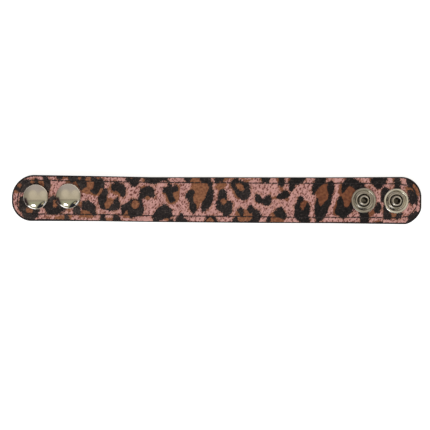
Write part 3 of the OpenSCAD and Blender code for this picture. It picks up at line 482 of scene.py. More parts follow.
BROWN_SPOTS = [
    # cap end to the slope
    [(-98.2, -10.6), (-96, -10.2), (-93.4, -10.4), (-91.6, -10.7), (-93, -11.2), (-95.6, -11.1)],
    [(-90.6, -10.4), (-88.6, -9.9), (-86.8, -9.6), (-85.4, -9.6), (-84.9, -10.6), (-85.2, -11.8),
     (-87.4, -11.9), (-89.6, -11.5)],
    [(-83.8, -5.4), (-82.8, -4.9), (-81.4, -5.2), (-81.2, -6.6), (-81.6, -8), (-82.6, -8.4), (-83.2, -7.4),
     (-83.4, -6.4)],
    [(-82, -9.4), (-80.6, -9.3), (-80, -10.1), (-80.9, -11), (-82, -10.8)],
    [(-111.7, 7.6), (-110.9, 8.3), (-109.2, 8), (-108.6, 7.2), (-109.2, 6.1), (-110, 5.7), (-110.8, 6.3),
     (-111.6, 7)],
    [(-99.3, 9.9), (-97.4, 10.1), (-96.8, 8.6), (-96.5, 7.2), (-96.7, 6.4), (-97.8, 6.8), (-99.2, 8.2)],
    [(-113.6, 4.1), (-112.2, 4.2), (-110.8, 3), (-111, 2.4), (-112.2, 2.3), (-113.5, 3)],
    [(-90.9, -1.6), (-91.5, -2.4), (-91, -3.4), (-91.2, -4.4), (-90.6, -4.9), (-89, -4.8), (-88.8, -3.9),
     (-89.7, -3.1), (-89.9, -1.4), (-90.4, -0.6)],
    [(-106.1, -5.4), (-102.6, -6), (-102.4, -6.9), (-103, -8.4), (-106, -8.3), (-106.4, -6.5)],
    [(-85.8, 11.6), (-84.8, 12.5), (-83.3, 12.5), (-83.3, 11.2), (-84.4, 10.6), (-85.8, 10.6)],
    [(-84.6, 9.4), (-83.6, 10.2), (-82.2, 9.6), (-82.4, 8.5), (-84.2, 8.4)],
    [(-103.8, 8.3), (-103.4, 10.6), (-102.6, 11.2), (-101.9, 10.6), (-102.2, 8.4)],
    [(-79.4, 9.2), (-78.7, 9), (-77.9, 7.4), (-77.2, 6.2), (-77.6, 5.8), (-78.6, 6.8), (-79.6, 7.6),
     (-79.8, 8.4)],
    [(-77.2, 12.8), (-76, 12.8), (-76, 10.3), (-77.2, 10.4)],
    [(-71.9, 12.7), (-70.2, 12.7), (-70.3, 11.2), (-71, 10.5), (-70.4, 9.8), (-68.7, 9.4), (-68.6, 8.2),
     (-69.1, 7), (-69.1, 5.9), (-69.9, 5.2), (-71, 5), (-71.2, 4.1), (-70.3, 3.1), (-69, 2.4), (-67.2, 1.7),
     (-67, 1.3), (-68.4, 1.2), (-70, 1.9), (-71.8, 2.2), (-73.6, 2.4), (-75, 2.9), (-75.4, 3.6),
     (-74.9, 4.6), (-74.2, 5.4), (-73.4, 5.9), (-72.7, 5.6), (-72.3, 6.4), (-72.6, 7.4), (-72.3, 8.4),
     (-72.9, 9.6), (-73.3, 10.6)],
    [(-67.7, 12.7), (-65.3, 12.7), (-65.4, 11.8), (-66.2, 10.8), (-66.8, 11)],
    [(-65.2, 5.4), (-64.2, 5.7), (-63.9, 4.8), (-64.9, 3), (-66.2, 1.6), (-67, 1.4), (-66.8, 2.2), (-66, 3),
     (-65.5, 4.2)],
    [(-60.6, 6.2), (-59.8, 7.8), (-59.2, 7.4), (-59.6, 6.2), (-59.2, 5.4), (-59.8, 4.6), (-60.7, 4.9)],
    [(-61, 0.7), (-60.2, 0.4), (-59.2, 0.5), (-58.6, 0.2), (-58.2, -0.8), (-58.6, -2), (-59.4, -3.4),
     (-60, -4.4), (-60.7, -5.5), (-61.6, -5.6), (-62.2, -4.4), (-62.8, -3), (-62.1, -2.2), (-61.2, -1.8),
     (-61.3, -0.4)],
    [(-59.8, 4.8), (-58.9, 4.3), (-58.2, 3.6), (-57.2, 3.4), (-56.4, 4.2), (-55.6, 3.7), (-55, 2.8),
     (-54.2, 2), (-54.3, 1), (-55, 1.2), (-55.6, 2), (-56.6, 2), (-57.6, 2.4), (-58.6, 2.6), (-59.4, 3.5),
     (-60, 3.9)],
    [(-50.6, -6.6), (-50, -6.8), (-50.2, -8.2), (-49.2, -9.2), (-48.9, -10.6), (-51.8, -11), (-53, -10.2),
     (-52.2, -9.2), (-51.4, -8.4)],
    [(-77, -1.4), (-76, -1.6), (-75.6, -3), (-75.8, -4.9), (-76.2, -4.4), (-76.8, -3.8), (-77.7, -3.2),
     (-77.2, -2.4)],
    [(-75.6, -7.1), (-74.4, -6.7), (-73, -6.9), (-71.6, -7.3), (-71, -8.2), (-70, -9.6), (-68.8, -10.2),
     (-68.9, -10.9), (-71, -11), (-73.5, -10.9), (-76.6, -11), (-77.2, -10), (-75.8, -9.2), (-75.7, -8)],
    [(-61.7, -11.4), (-61, -10.6), (-59.4, -10.3), (-58.7, -11), (-58.4, -12.6), (-61.4, -12.6)],
    [(-49, 12.8), (-46.9, 12.8), (-46.9, 11.5), (-49, 11.5)],
    [(-48.2, -3.3), (-47.5, -1.4), (-45.8, -0.6), (-44.1, -1.4), (-43.3, -3.1), (-44, -4.9), (-45.8, -5.6),
     (-47.6, -4.9)],
    [(-39.9, 0.8), (-39.2, 1.6), (-38.2, 1.3), (-37.9, 0.4), (-38.3, -0.6), (-39.2, -1), (-39.9, -0.4)],
    [(-42.4, 6.3), (-41.8, 7.6), (-41, 7.3), (-41.2, 6.2)],
    [(-42.3, 11.3), (-41.6, 11.4), (-40.7, 9.6), (-41.5, 9.2)],
    # middle of the cap half
    [(-24, 9.1), (-22.6, 9.2), (-21.6, 8.2), (-21.2, 6.6), (-21.2, 5.2), (-20.8, 4), (-20.9, 2.4),
     (-20.9, 0.8), (-21.6, -0.7), (-22.4, -1.6), (-23.6, -2.4), (-25, -2.9), (-26.6, -2.9), (-26.6, -2.3),
     (-25.4, -2.2), (-24, -1.5), (-22.9, -0.9), (-22.8, -0.3), (-23.7, 0.2), (-23.9, 1), (-24, 1.9),
     (-24.6, 2.6), (-24.3, 3.4), (-23.6, 3.9), (-22.2, 4), (-21.5, 4.6), (-21.4, 6), (-21.7, 7.2),
     (-22.6, 8.2)],
    [(-30.6, 3.2), (-29.6, 3.2), (-28.6, 2.5), (-28, 1.6), (-27.8, 0.2), (-27.2, -0.9), (-26.6, -2),
     (-26.4, -3), (-27.2, -3), (-28.4, -1.8), (-29.2, -0.8), (-29, 0.6), (-28.8, 1.6), (-29.8, 2.4),
     (-30.8, 2.6)],
    [(-13.6, 12.8), (-9.8, 12.8), (-10.1, 11.4), (-10.2, 10.4), (-9.2, 9.8), (-9.4, 9), (-6, 8.9),
     (-5.4, 7.6), (-4.9, 6.4), (-5.4, 5.2), (-6, 3.8), (-6.5, 2.2), (-7, 0.6), (-8, -0.8), (-8.9, -1.4),
     (-9.4, -2.6), (-9.7, -4.4), (-10.6, -5.6), (-11.2, -5.2), (-11.4, -3.4), (-12, -2.4), (-12.9, -1.8),
     (-13.2, -0.6), (-13.3, 0.6), (-13.1, 2.2), (-12.5, 3.4), (-12.4, 4.6), (-13.4, 5.4), (-14.6, 5.6),
     (-15.2, 6.6), (-15.2, 8), (-14.6, 8.9), (-15, 10), (-14.3, 11.2)],
    [(-6.6, -12.9), (-6, -11.6), (-4.8, -10.8), (-4, -10.2), (-3.2, -10.6), (-2, -11.4), (-1.2, -12.9)],
    [(-29.2, -10.9), (-28.2, -10.8), (-27.2, -11.4), (-27.6, -12.2), (-29, -12.2)],
    # middle of the stud half
    [(-1.6, 7.1), (-1, 8), (0.6, 8.7), (3, 9.3), (4.9, 9.3), (5.3, 8.4), (5.2, 6.9), (3.8, 6.3), (2.4, 6),
     (1.2, 5.6), (0.8, 5), (0.2, 5.6), (-0.1, 6.2), (-1.2, 6.2)],
    [(4.5, 12.7), (6.8, 12.4), (6, 11.2), (5.4, 10.2), (3.6, 10), (4.2, 11.4)],
    [(7, 10.2), (7.8, 11.8), (9, 12.6), (7.4, 12.5), (6.6, 11.2)],
    [(1.7, -0.4), (2.6, 0.3), (3.4, 0.5), (4.4, 0.1), (5.3, -0.4), (5.2, -1.2), (4.6, -2.2), (4.2, -3),
     (3.4, -3), (2.8, -2.3), (1.9, -1.4)],
    [(10.1, 8.2), (10.6, 9.1), (12, 9.3), (13.4, 9), (14.2, 8.2), (15, 7.2), (14.9, 5.6), (14.2, 4.8),
     (13, 5), (11.9, 5.8), (11, 7)],
    [(6.4, 8.4), (7.1, 8.6), (7, 7.2), (7.7, 6.1), (7.2, 5.9), (6.5, 6.9)],
    [(7.9, 5.4), (8.6, 5.3), (9.5, 4.2), (9.9, 2.9), (10.4, 2), (11.4, 1.1), (12.2, 0.4), (11.8, -0.1),
     (10.9, 0.5), (9.9, 1.4), (9.2, 2.6), (8.4, 3.6), (7.9, 4.6)],
    [(13.4, 12.5), (15.4, 12.3), (15.3, 11.3), (14.1, 11.2)],
    [(14.9, 11.2), (16, 11.3), (17.2, 11.2), (18.2, 11.1), (18.1, 10.2), (16.8, 10), (15.4, 10.3)],
    [(18.6, 12.5), (19.8, 12.1), (20.1, 10.9), (19.2, 10.4), (18.8, 11.3)],
    [(9.9, -7), (10.6, -6.8), (11.4, -7.2), (12.2, -8.2), (12.9, -9.2), (13, -9.6), (10.8, -9.6),
     (10.4, -8.6), (9.8, -8)],
    [(11.6, -10.2), (13, -10), (13.8, -10), (14.6, -9.2), (15.2, -8), (15.1, -6.6), (14.6, -5.8),
     (15.6, -5.6), (16.6, -6.2), (17.2, -7.2), (18, -8), (19.2, -8), (19.6, -9), (19.3, -10.2),
     (18.6, -11.2), (17.6, -11.9), (15.8, -11.6), (14.4, -12.2), (13, -12.4), (12.2, -11.8), (11.8, -11)],
    [(30.9, 1.2), (31.6, 2), (32.4, 1.9), (33, 0.8), (32.2, 0), (31.2, 0.3)],
    [(35.2, 6.8), (36, 6.9), (36.8, 6.2), (36.9, 5.4), (36, 4.8), (35, 4.8), (34.4, 5.2), (35, 6)],
    [(38.4, -0.4), (39.6, 0.8), (40.3, 0.2), (40, -0.8), (38.9, -1)],
    [(33, 12.6), (34.2, 12.6), (34.2, 10), (33.2, 10.2)],
    [(23.6, 12.6), (24.6, 12.6), (24.5, 10.6), (23.8, 10.6)],
    [(39.6, 12.6), (40.6, 12.6), (40.5, 11), (39.8, 11)],
    [(30.2, -6.8), (31, -6.9), (31.6, -7.9), (32.3, -9), (33, -9.8), (34.4, -10), (35.6, -10.5),
     (36.8, -11.4), (38, -12), (37.6, -12.9), (29.9, -12.9), (30.2, -11.2), (30.4, -9.6), (29.9, -8.2)],
    [(46.6, -2.2), (47.2, -1.3), (48.2, -0.8), (49.2, -0.6), (50.4, -0.4), (50.3, -1.4), (49.6, -2.6),
     (49, -4), (48.6, -5.2), (47.9, -5.8), (47.4, -5), (46.8, -3.6)],
    # slope to the stud end
    [(60.2, 9.4), (61.4, 9.3), (62.2, 9.6), (61.2, 8), (61, 6.6), (61.5, 5.2), (62, 3.6), (62, 2.2),
     (61.7, 0.8), (61.2, -0.2), (60.2, -0.6), (59.6, -1.4), (58.8, -2.4), (58.2, -3.4), (57.4, -2.8),
     (57, -1.8), (57, -0.4), (56.8, 0.8), (56.2, 1.4), (55.4, 1.6), (54.8, 2.6), (55, 3.8), (56, 5.2),
     (57, 6.6), (57.6, 7.4), (58.8, 8.2), (59.6, 9.2)],
    [(70, 3.4), (71, 4.3), (72.2, 5.5), (72.6, 6.6), (73.4, 7.5), (74.6, 7.6), (75.8, 6.9), (76.8, 5.8),
     (77, 5), (76, 2), (75.2, 0.4), (75, -0.6), (74.3, -1.2), (73.8, -2), (73.5, -3.4), (72.8, -3.8),
     (71.4, -3.7), (71.1, -2.6), (71.1, -0.8), (70.3, 0.6), (69.8, 2)],
    [(68, 9), (69.2, 9), (69.3, 7.4), (69.2, 5.4), (69.2, 4.2), (69.8, 3.4), (70.2, 2.6), (69.4, 2.2),
     (68.2, 2.4), (67.6, 3.4), (67.4, 4.4), (67.9, 6), (67.8, 7.6)],
    [(66.2, -0.6), (66.8, -0.8), (66.9, -2.6), (66.3, -3.8), (65.8, -5), (65.5, -6.6), (65.8, -8),
     (66.6, -8.8), (65, -8.6), (64.8, -6.8), (65.2, -4.6), (65.6, -2.4)],
    [(84.6, 12.8), (85.8, 12.8), (85.8, 11), (84.8, 11)],
    [(84, 8.2), (85.2, 8.4), (86.6, 7.6), (86.8, 6.6), (85.6, 6.4), (84.4, 7.2)],
    [(88.4, -11.6), (89.4, -11), (91, -11), (91.2, -11.7), (89.8, -12)],
    [(85, -6.6), (86, -6), (87.4, -5.4), (87.7, -6.2), (88.2, -7), (87.7, -7.9), (87.2, -8.6), (86.4, -8.6),
     (85.6, -9.4), (85.3, -8.4), (84.7, -7.4)],
    [(97.6, 12.7), (98.6, 12.7), (98.6, 11), (97.8, 11)],
    [(109.4, 8.4), (109.9, 9.3), (110.8, 9.1), (111.8, 8.2), (112.4, 7), (112.6, 5.8), (113, 4.4),
     (113.2, 3.2), (112.6, 2.8), (111.6, 3.4), (111, 4.4), (111.2, 5.4), (110.6, 6.4), (109.8, 7.4)],
    [(105.6, 5.6), (106.6, 5.8), (107.4, 6), (108.2, 6.5), (108.9, 5.9), (109.6, 5), (110, 5.2),
     (109.6, 6.3), (108.6, 7.4), (107.8, 7.7), (107.2, 7), (106.2, 7.2), (105.4, 8), (104.8, 7)],
    [(96.2, -6.2), (98.2, -7), (100.4, -7.4), (100.2, -8), (99.6, -8.8), (98.9, -10), (98, -10.5),
     (97.4, -9.9), (97.9, -8.6), (97.8, -7.8), (96.9, -6.8)],
]

# Dark flecks in the pink: [x, y, half length], all leaning the same way
FLECKS = [
    [-90.6, 8.7, 0.5], [-91.2, 4.7, 0.5], [-74.1, 0.6, 0.5], [-71.8, 0.5, 0.5], [-73.2, -0.6, 0.4],
    [-70, 0.3, 0.4], [-67.3, -0.5, 0.5], [-60, 2, 0.4], [-48.9, 6.5, 0.5], [-48.2, 2.3, 0.6],
    [-46, 4.6, 0.6], [-44.9, 3.9, 0.5], [-46.6, 2.7, 0.5], [-37.5, -1.4, 0.5], [-40.5, -1.6, 0.5],
    [-32.6, -1.8, 0.6], [-31.6, 0.6, 0.5], [-30.4, 0.2, 0.5], [-29.8, -2.3, 0.5], [-34.9, -4, 0.6],
    [-38, -3, 0.5], [-33.6, -4.6, 0.5], [-34.4, 6.4, 0.5], [-33.2, 3.2, 0.5], [-34.4, 2.2, 0.5],
    [-19.4, 5.6, 0.9], [-17, 5.8, 0.5], [-18.8, 2, 0.5], [-17, 4.2, 0.5], [-17.9, -6.2, 0.6],
    [-20.4, -5.2, 0.6], [-21.2, -6, 0.5], [-23, -6.2, 0.5], [-18.6, -2.6, 0.5], [-16, -2, 0.5],
    [-22.5, 10.4, 0.5], [-25.4, 10.6, 0.5], [-2, -8.2, 0.6], [-4.6, -6.8, 0.6], [2.2, -11.2, 0.6],
    [4.7, -11.6, 0.6], [7.5, 1.4, 0.6], [6.2, 6.6, 0.5], [16.7, -1.1, 0.9], [14.6, -2, 0.6],
    [15.2, -3.2, 0.7], [13.2, -2.4, 0.6], [9.7, -3.2, 0.5], [16.8, -3.4, 0.5], [22, 11.7, 0.5],
    [23.2, 7.9, 0.5], [28.7, 8, 0.5], [21.6, 6, 0.9], [25.6, 6.6, 0.5], [26.6, 7.2, 0.5], [23.5, 4.4, 0.5],
    [25, 4, 0.5], [29.6, 4.7, 0.6], [32.4, 5.1, 0.5], [32.2, 3.6, 0.5], [31.8, 1.6, 0.4], [32.1, -1.8, 0.6],
    [33.8, -2.2, 0.5], [38.8, -2.3, 0.5], [40.6, -2.4, 0.5], [41.4, -2.8, 0.5], [24.6, -5.1, 0.5],
    [26.6, -5.9, 0.5], [28.6, -5.9, 0.5], [25.6, -7.6, 0.5], [27.2, -8.2, 0.6], [31, 10.8, 0.5],
    [39, 6.4, 0.5], [47.9, 5.6, 0.5], [49.8, 4.6, 0.5], [46.8, 3.2, 0.5], [44.4, 1.2, 0.5],
    [43.4, -0.6, 0.5], [50, 10.8, 0.5], [42, -6.2, 0.5], [39.6, -6.2, 0.5], [41.2, -8, 0.5],
    [66.2, 4.6, 0.5], [62.6, -8.2, 0.5], [64.4, -7.6, 0.5], [76.6, -6.6, 0.5], [75.7, -9.2, 0.5],
    [81, 11.2, 0.5], [107.3, -5, 0.5], [108.4, -2.6, 0.5], [113.4, -1, 0.5],
]
FLECK_LEAN = math.radians(58)
FLECK_NARROWING = 1.9       # length over breadth


def fleck_strength(points):
    """Strongest fleck at each point: a bell exp(-(a / length)^2 - (b / breadth)^2) on leaning axes."""
    strength = np.zeros(len(points))
    lean = np.array([math.cos(FLECK_LEAN), math.sin(FLECK_LEAN)])
    for x, y, length in FLECKS:
        away = points - (x, y)
        along = away @ lean
        across = away @ np.array([-lean[1], lean[0]])
        bell = np.exp(-(along / length) ** 2 - (across * FLECK_NARROWING / length) ** 2)
        strength = np.maximum(strength, bell)
    return strength


# Meshes

def make_piece(name, points, faces, look, sharp_angle=math.radians(42), values=None):
    """A finished piece from points in millimetres and faces of three or four corners each.

    Values are numbers kept at the points, by attribute name. It rides on the part's one body.
    """
    mesh = bpy.data.meshes.new(name)
    corner_lists = []
    for group in faces:
        corner_lists += group.tolist()
    mesh.from_pydata((points * MM).tolist(), [], corner_lists)
    mesh.shade_smooth()
    mesh.set_sharp_from_angle(angle=sharp_angle)
    for key, numbers in (values or {}).items():
        mesh.attributes.new(key, "FLOAT", "POINT").data.foreach_set("value", numbers.astype(np.float32))
    mesh.materials.append(look)
    piece = bpy.data.objects.new(name, mesh)
    bpy.context.scene.collection.objects.link(piece)
    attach(piece, "root")
    return piece


def sheet_mesh(net, top, bottom):
    """A closed sheet over the net, where top and bottom are heights at its points.

    The upper edge is a quarter round of radius EDGE_ROUND, z = r (1 - cos a) down and r sin a out, the wall
    is upright, and the lower edge is a smaller quarter round. Walls line the punched holes.
    Gives the points, the faces, and how far each point lies in from the outline.
    """
    flat, cells, border, holes = net
    loop = flat[border]
    normal = outward(loop)
    turn = np.radians([22.5, 45, 67.5, 90])
    out_by = list(EDGE_ROUND * np.sin(turn))
    heights = [top[border] - EDGE_ROUND * (1 - math.cos(a)) for a in turn]
    for a in np.radians([0, 45, 90]):
        out_by.append(EDGE_ROUND - LOWER_ROUND * (1 - math.cos(a)))
        heights.append(bottom[border] + LOWER_ROUND * (1 - math.sin(a)))
    skirt = [np.column_stack([loop + normal * out, z]) for out, z in zip(out_by, heights)]
    count = len(flat)
    rings = [border]
    for k in range(len(skirt)):
        rings.append(2 * count + k * len(border) + np.arange(len(border)))
    rings.append(border + count)
    faces = [cells, cells[:, ::-1] + count, band(np.array(rings))[:, ::-1]]
    faces += [band(np.array([hole, hole + count])) for hole in holes]
    points = np.vstack([np.column_stack([flat, top]), np.column_stack([flat, bottom])] + skirt)
    return points, faces, np.repeat(EDGE_ROUND - np.array(out_by), len(border))


def upright(points, faces):
    """Turns all faces over if the closed mesh they make has a negative volume."""
    volume = 0.0
    for group in faces:
        for k in range(1, group.shape[1] - 1):
            a, b, c = (points[group[:, n]] for n in (0, k, k + 1))
            volume += np.einsum("ij,ij->", a, np.cross(b, c))
    return faces if volume > 0 else [group[:, ::-1] for group in faces]


def turned_mesh(section, spot, base, segments):
    """A section of (radius, height) points turned about the upright line at spot.

    A section that starts and ends on the axis closes in two fans, and any other closes on itself.
    """
    section = np.array(section, float)
    capped = section[0, 0] == 0
    ring_points = section[1:-1] if capped else np.vstack([section, section[:1]])
    around = np.linspace(0, 2 * math.pi, segments, endpoint=False)
    radius, height = (ring_points[:, k][:, None] for k in (0, 1))
    x = spot[0] + radius * np.cos(around)
    y = spot[1] + radius * np.sin(around)
    z = np.broadcast_to(base + height, x.shape)
    points = np.stack([x, y, z], -1).reshape(-1, 3)
    ring = np.arange(len(points)).reshape(len(ring_points), segments)
    radii = np.repeat(ring_points[:, 0], segments)
    if not capped:
        ring[-1] = ring[0]
        points, radii = points[:-segments], radii[:-segments]
        return points, upright(points, [band(ring)]), radii
    poles = np.array([[spot[0], spot[1], base + section[k, 1]] for k in (0, -1)])
    first, last = len(points), len(points) + 1
    after = np.roll(ring, -1, 1)
    fans = np.vstack([
        np.column_stack([np.full(segments, first), after[0], ring[0]]),
        np.column_stack([np.full(segments, last), ring[-1], after[-1]]),
    ])
    points = np.vstack([points, poles])
    return points, upright(points, [band(ring), fans]), np.concatenate([radii, [0, 0]])


def arc(spot, radius, start, end, steps):
    """Points of an arc in a section, from one angle to another in degrees."""
    a = np.radians(np.linspace(start, end, steps + 1))
    return [(spot[0] + radius * math.cos(t), spot[1] + radius * math.sin(t)) for t in a]


def smooth_line(points, step):
    """A line of section points rounded by cutting its corners three times, then walked in even steps."""
    line = np.array(points, float)
    for _ in range(3):
        first, last = line[:1], line[-1:]
        near, far = 0.75 * line[:-1] + 0.25 * line[1:], 0.25 * line[:-1] + 0.75 * line[1:]
        line = np.vstack([first, np.stack([near, far], 1).reshape(-1, 2), last])
    run = run_along(line)
    at = np.linspace(0, run[-1], int(run[-1] / step))
    return list(zip(np.interp(at, run, line[:, 0]), np.interp(at, run, line[:, 1])))


# Shader building

class Graph:
    """A node tree with short calls for the nodes that these materials use."""

    def __init__(self, tree):
        self.tree = tree
        self.tree.nodes.clear()

    def node(self, kind, **settings):
        made = self.tree.nodes.new(kind)
        for key, value in settings.items():
            setattr(made, key, value)
        return made

    def feed(self, socket, value):
        """Links a socket, or sets a plain number or colour."""
        if isinstance(value, bpy.types.NodeSocket):
            self.tree.links.new(value, socket)
        else:
            socket.default_value = value

    def math(self, operation, *values, clamp=False):
        made = self.node("ShaderNodeMath", operation=operation, use_clamp=clamp)
        for socket, value in zip(made.inputs, values):
            self.feed(socket, value)
        return made.outputs[0]

    def plus(self, a, b):
        return self.math("ADD", a, b)

    def minus(self, a, b):
        return self.math("SUBTRACT", a, b)

    def times(self, a, b):
        return self.math("MULTIPLY", a, b)

    def larger(self, a, b):
        return self.math("MAXIMUM", a, b)

    def mix(self, share, a, b):
        """Blend of two colours by a share: the node's inputs 0, 6 and 7, and its output 2."""
        made = self.node("ShaderNodeMix", data_type="RGBA")
        for k, value in ((0, share), (6, a), (7, b)):
            self.feed(made.inputs[k], value)
        return made.outputs[2]

    def noise(self, where, scale, detail=2.0, rough=0.5, output="Fac"):
        """Noise over a place, or over a plain number along one line."""
        along_line = where.type == "VALUE"
        made = self.node("ShaderNodeTexNoise", noise_dimensions="1D" if along_line else "3D")
        self.feed(made.inputs["W" if along_line else "Vector"], where)
        for name, number in (("Scale", scale), ("Detail", detail), ("Roughness", rough)):
            made.inputs[name].default_value = number
        return made.outputs[output]

    def fade(self, value, low, high, to_low=0.0, to_high=1.0):
        """Smooth step from to_low at low to to_high at high."""
        made = self.node("ShaderNodeMapRange", interpolation_type="SMOOTHSTEP")
        for name, number in (("Value", value), ("From Min", low), ("From Max", high),
                             ("To Min", to_low), ("To Max", to_high)):
            self.feed(made.inputs[name], number)
        return made.outputs["Result"]

    def attribute(self, name):
        return self.node("ShaderNodeAttribute", attribute_name=name).outputs["Fac"]

    def vector(self, operation, *values):
        made = self.node("ShaderNodeVectorMath", operation=operation)
        for socket, value in zip(made.inputs, values):
            self.feed(socket, value)
        return made.outputs[0]

    def place(self, scale=(1000, 1000, 1000), turn=0.0):
        """Object coordinates in millimetres, turned about Z and stretched."""
        where = self.node("ShaderNodeTexCoord").outputs["Object"]
        spin = self.node("ShaderNodeMapping", vector_type="POINT")
        spin.inputs["Rotation"].default_value = (0, 0, turn)
        self.feed(spin.inputs["Vector"], where)
        size = self.node("ShaderNodeMapping", vector_type="POINT")
        size.inputs["Scale"].default_value = scale
        self.feed(size.inputs["Vector"], spin.outputs[0])
        return size.outputs[0]

    def split(self, vector):
        """The X, Y and Z parts of a vector."""
        made = self.node("ShaderNodeSeparateXYZ")
        self.feed(made.inputs[0], vector)
        return made.outputs

    def bump(self, height, depth, strength):
        """Normal of a relief whose depth is in millimetres."""
        made = self.node("ShaderNodeBump")
        made.inputs["Strength"].default_value = strength
        made.inputs["Distance"].default_value = depth * MM
        self.feed(made.inputs["Height"], height)
        return made.outputs[0]

    def group(self, tree, **values):
        made = self.node("ShaderNodeGroup", node_tree=tree)
        for key, value in values.items():
            self.feed(made.inputs[key], value)
        return made.outputs


def new_group(name, inputs, outputs):
    """An empty shader group with named number sockets, and its graph, inputs and output node."""
    tree = bpy.data.node_groups.new(name, "ShaderNodeTree")
    graph = Graph(tree)
    for key, value in inputs.items():
        socket = tree.interface.new_socket(name=key, in_out="INPUT", socket_type="NodeSocketFloat")
        socket.default_value = value
    for key in outputs:
        tree.interface.new_socket(name=key, in_out="OUTPUT", socket_type="NodeSocketFloat")
    return tree, graph, graph.node("NodeGroupInput").outputs, graph.node("NodeGroupOutput").inputs


def leather_grain_group():
    """Fine pebbled grain: rounded cells with creases between them, and pores.

    Cells is the number of cells to a millimetre, and Pores how deep the pores are.
    """
    tree, g, given, out = new_group("leather_grain", {"Cells": 1.6, "Pores": 0.5}, ["Height", "Crease"])
    where = g.place()
    cells = g.node("ShaderNodeTexVoronoi", feature="DISTANCE_TO_EDGE")
    g.feed(cells.inputs["Vector"], g.vector("ADD", where, g.noise(where, 0.9)))
    g.feed(cells.inputs["Scale"], given["Cells"])
    crease = g.fade(cells.outputs["Distance"], 0.0, 0.16, 1.0, 0.0)
    pores = g.times(g.noise(where, 7.0, 3.0, 0.6), given["Pores"])
    g.feed(out["Crease"], crease)
    g.feed(out["Height"], g.minus(pores, crease))
    return tree


def mottle_group():
    """Slow cloudy variation, 0 to 1, with patches about Size millimetres across."""
    tree, g, given, out = new_group("soft_mottle", {"Size": 4.0, "Contrast": 1.0}, ["Value"])
    cloud = g.minus(g.noise(g.vector("DIVIDE", g.place(), given["Size"]), 1.0, 4.0, 0.55), 0.5)
    g.feed(out["Value"], g.math("ADD", g.times(cloud, given["Contrast"]), 0.5, clamp=True))
    return tree


GRAIN = leather_grain_group()
MOTTLE = mottle_group()


def new_look(name):
    """A node material with its graph and its Principled shader."""
    look = bpy.data.materials.new(name)
    look.use_nodes = True
    g = Graph(look.node_tree)
    shader = g.node("ShaderNodeBsdfPrincipled")
    g.feed(g.node("ShaderNodeOutputMaterial").inputs["Surface"], shader.outputs[0])
    return look, g, shader


def dress(g, shader, colour, rough, normal, specular=0.5, metallic=0.0):
    """Feeds the surface's colour, roughness and normal, and sets its plain numbers on the shader itself."""
    for name, value in (("Base Color", colour), ("Roughness", rough), ("Normal", normal),
                        ("Specular IOR Level", specular), ("Metallic", metallic)):
        g.feed(shader.inputs[name], value)


# Colours of the print, the black leather, the nickel and the thread
PINK_LIGHT = (0.720, 0.400, 0.372, 1)
PINK_DULL = (0.480, 0.240, 0.220, 1)
BROWN_WARM = (0.335, 0.142, 0.072, 1)
BROWN_DARK = (0.165, 0.060, 0.030, 1)
BROWN_RED = (0.235, 0.085, 0.040, 1)
BROWN_RED_DARK = (0.125, 0.040, 0.019, 1)
BLACK_PRINT = (0.0090, 0.0066, 0.0078, 1)
BLACK_DEEP = (0.0036, 0.0028, 0.0038, 1)
# grey of wear on the black, also used as painted sheen
BLACK_WEAR_AND_SHEEN = (0.150, 0.118, 0.108, 1)
# painted shade in the backing's grain creases
BLACK_CREASE_SHADE = (0.005, 0.004, 0.004, 1)
FLECK_RED = (0.135, 0.038, 0.030, 1)
NICKEL_DEEP = (0.63, 0.58, 0.50, 1)
NICKEL_BRIGHT = (0.70, 0.65, 0.57, 1)
# painted highlight for the nickel's glints
NICKEL_PAINTED_HIGHLIGHT = (0.98, 0.95, 0.86, 1)
NICKEL_RINGS = (0.16, 0.145, 0.11, 1)
# painted shade and painted dark reflections on the nickel
NICKEL_PAINTED_SHADE = (0.030, 0.025, 0.022, 1)
THREAD_DARK = (0.010, 0.008, 0.009, 1)
# painted highlight on the thread's strand crowns
THREAD_CROWN_HIGHLIGHT = (0.034, 0.026, 0.027, 1)

# Lean of the dashes in the pink, and of the fewer ones that cross them
HAIR_LEAN = math.radians(60)
CROSS_LEAN = math.radians(118)
# Reach of the wear and painted sheen from the stitching
SEAM_WEAR_SHEEN = 1.2
# X where the spots start to deepen and redden, are deepest, start back, and are plain again. The deeper black
# paints less sheen than at the cap end; the redder brown is the print's own
DEEPER = (26, 44, 88, 100)


def dashes(g, lean, fewest, most):
    """Short dark dashes that lean over: dots of a stretched cell pattern, pulled out of round by a noise.

    The cells with a random number under fewest have no dash, and those over most a full one.
    """
    pull, stretch = (0.9, 0.9, 0.0), (540, 950, 1000)
    wobble = g.noise(g.place(), 1.3, output="Color")
    cells = g.node("ShaderNodeTexVoronoi", feature="F1")
    g.feed(cells.inputs["Vector"], g.vector("MULTIPLY_ADD", wobble, pull, g.place(stretch, -lean)))
    cells.inputs["Scale"].default_value = 1.0
    cells.inputs["Randomness"].default_value = 1.0
    dot = g.fade(cells.outputs["Distance"], 0.26, 0.48, 1.0, 0.0)
    chosen = g.node("ShaderNodeSeparateColor")
    g.feed(chosen.inputs[0], cells.outputs["Color"])
    return g.times(dot, g.fade(chosen.outputs[0], fewest, most))


def pink_ground(g, hairs, dots):
    """Dusty pink, cloudy, dulled along the hairs, with the dashes, the dots and the charted flecks."""
    cloud = g.group(MOTTLE, Size=2.2, Contrast=2.2)["Value"]
    pink = g.mix(cloud, PINK_DULL, PINK_LIGHT)
    pink = g.mix(g.times(g.fade(hairs, -0.05, 0.15), 0.35), pink, PINK_DULL)
    pink = g.mix(dashes(g, HAIR_LEAN, -0.05, 0.40), pink, FLECK_RED)
    pink = g.mix(g.times(dots, 0.85), pink, FLECK_RED)
    return g.mix(g.times(g.attribute("fleck"), 0.85), pink, FLECK_RED)


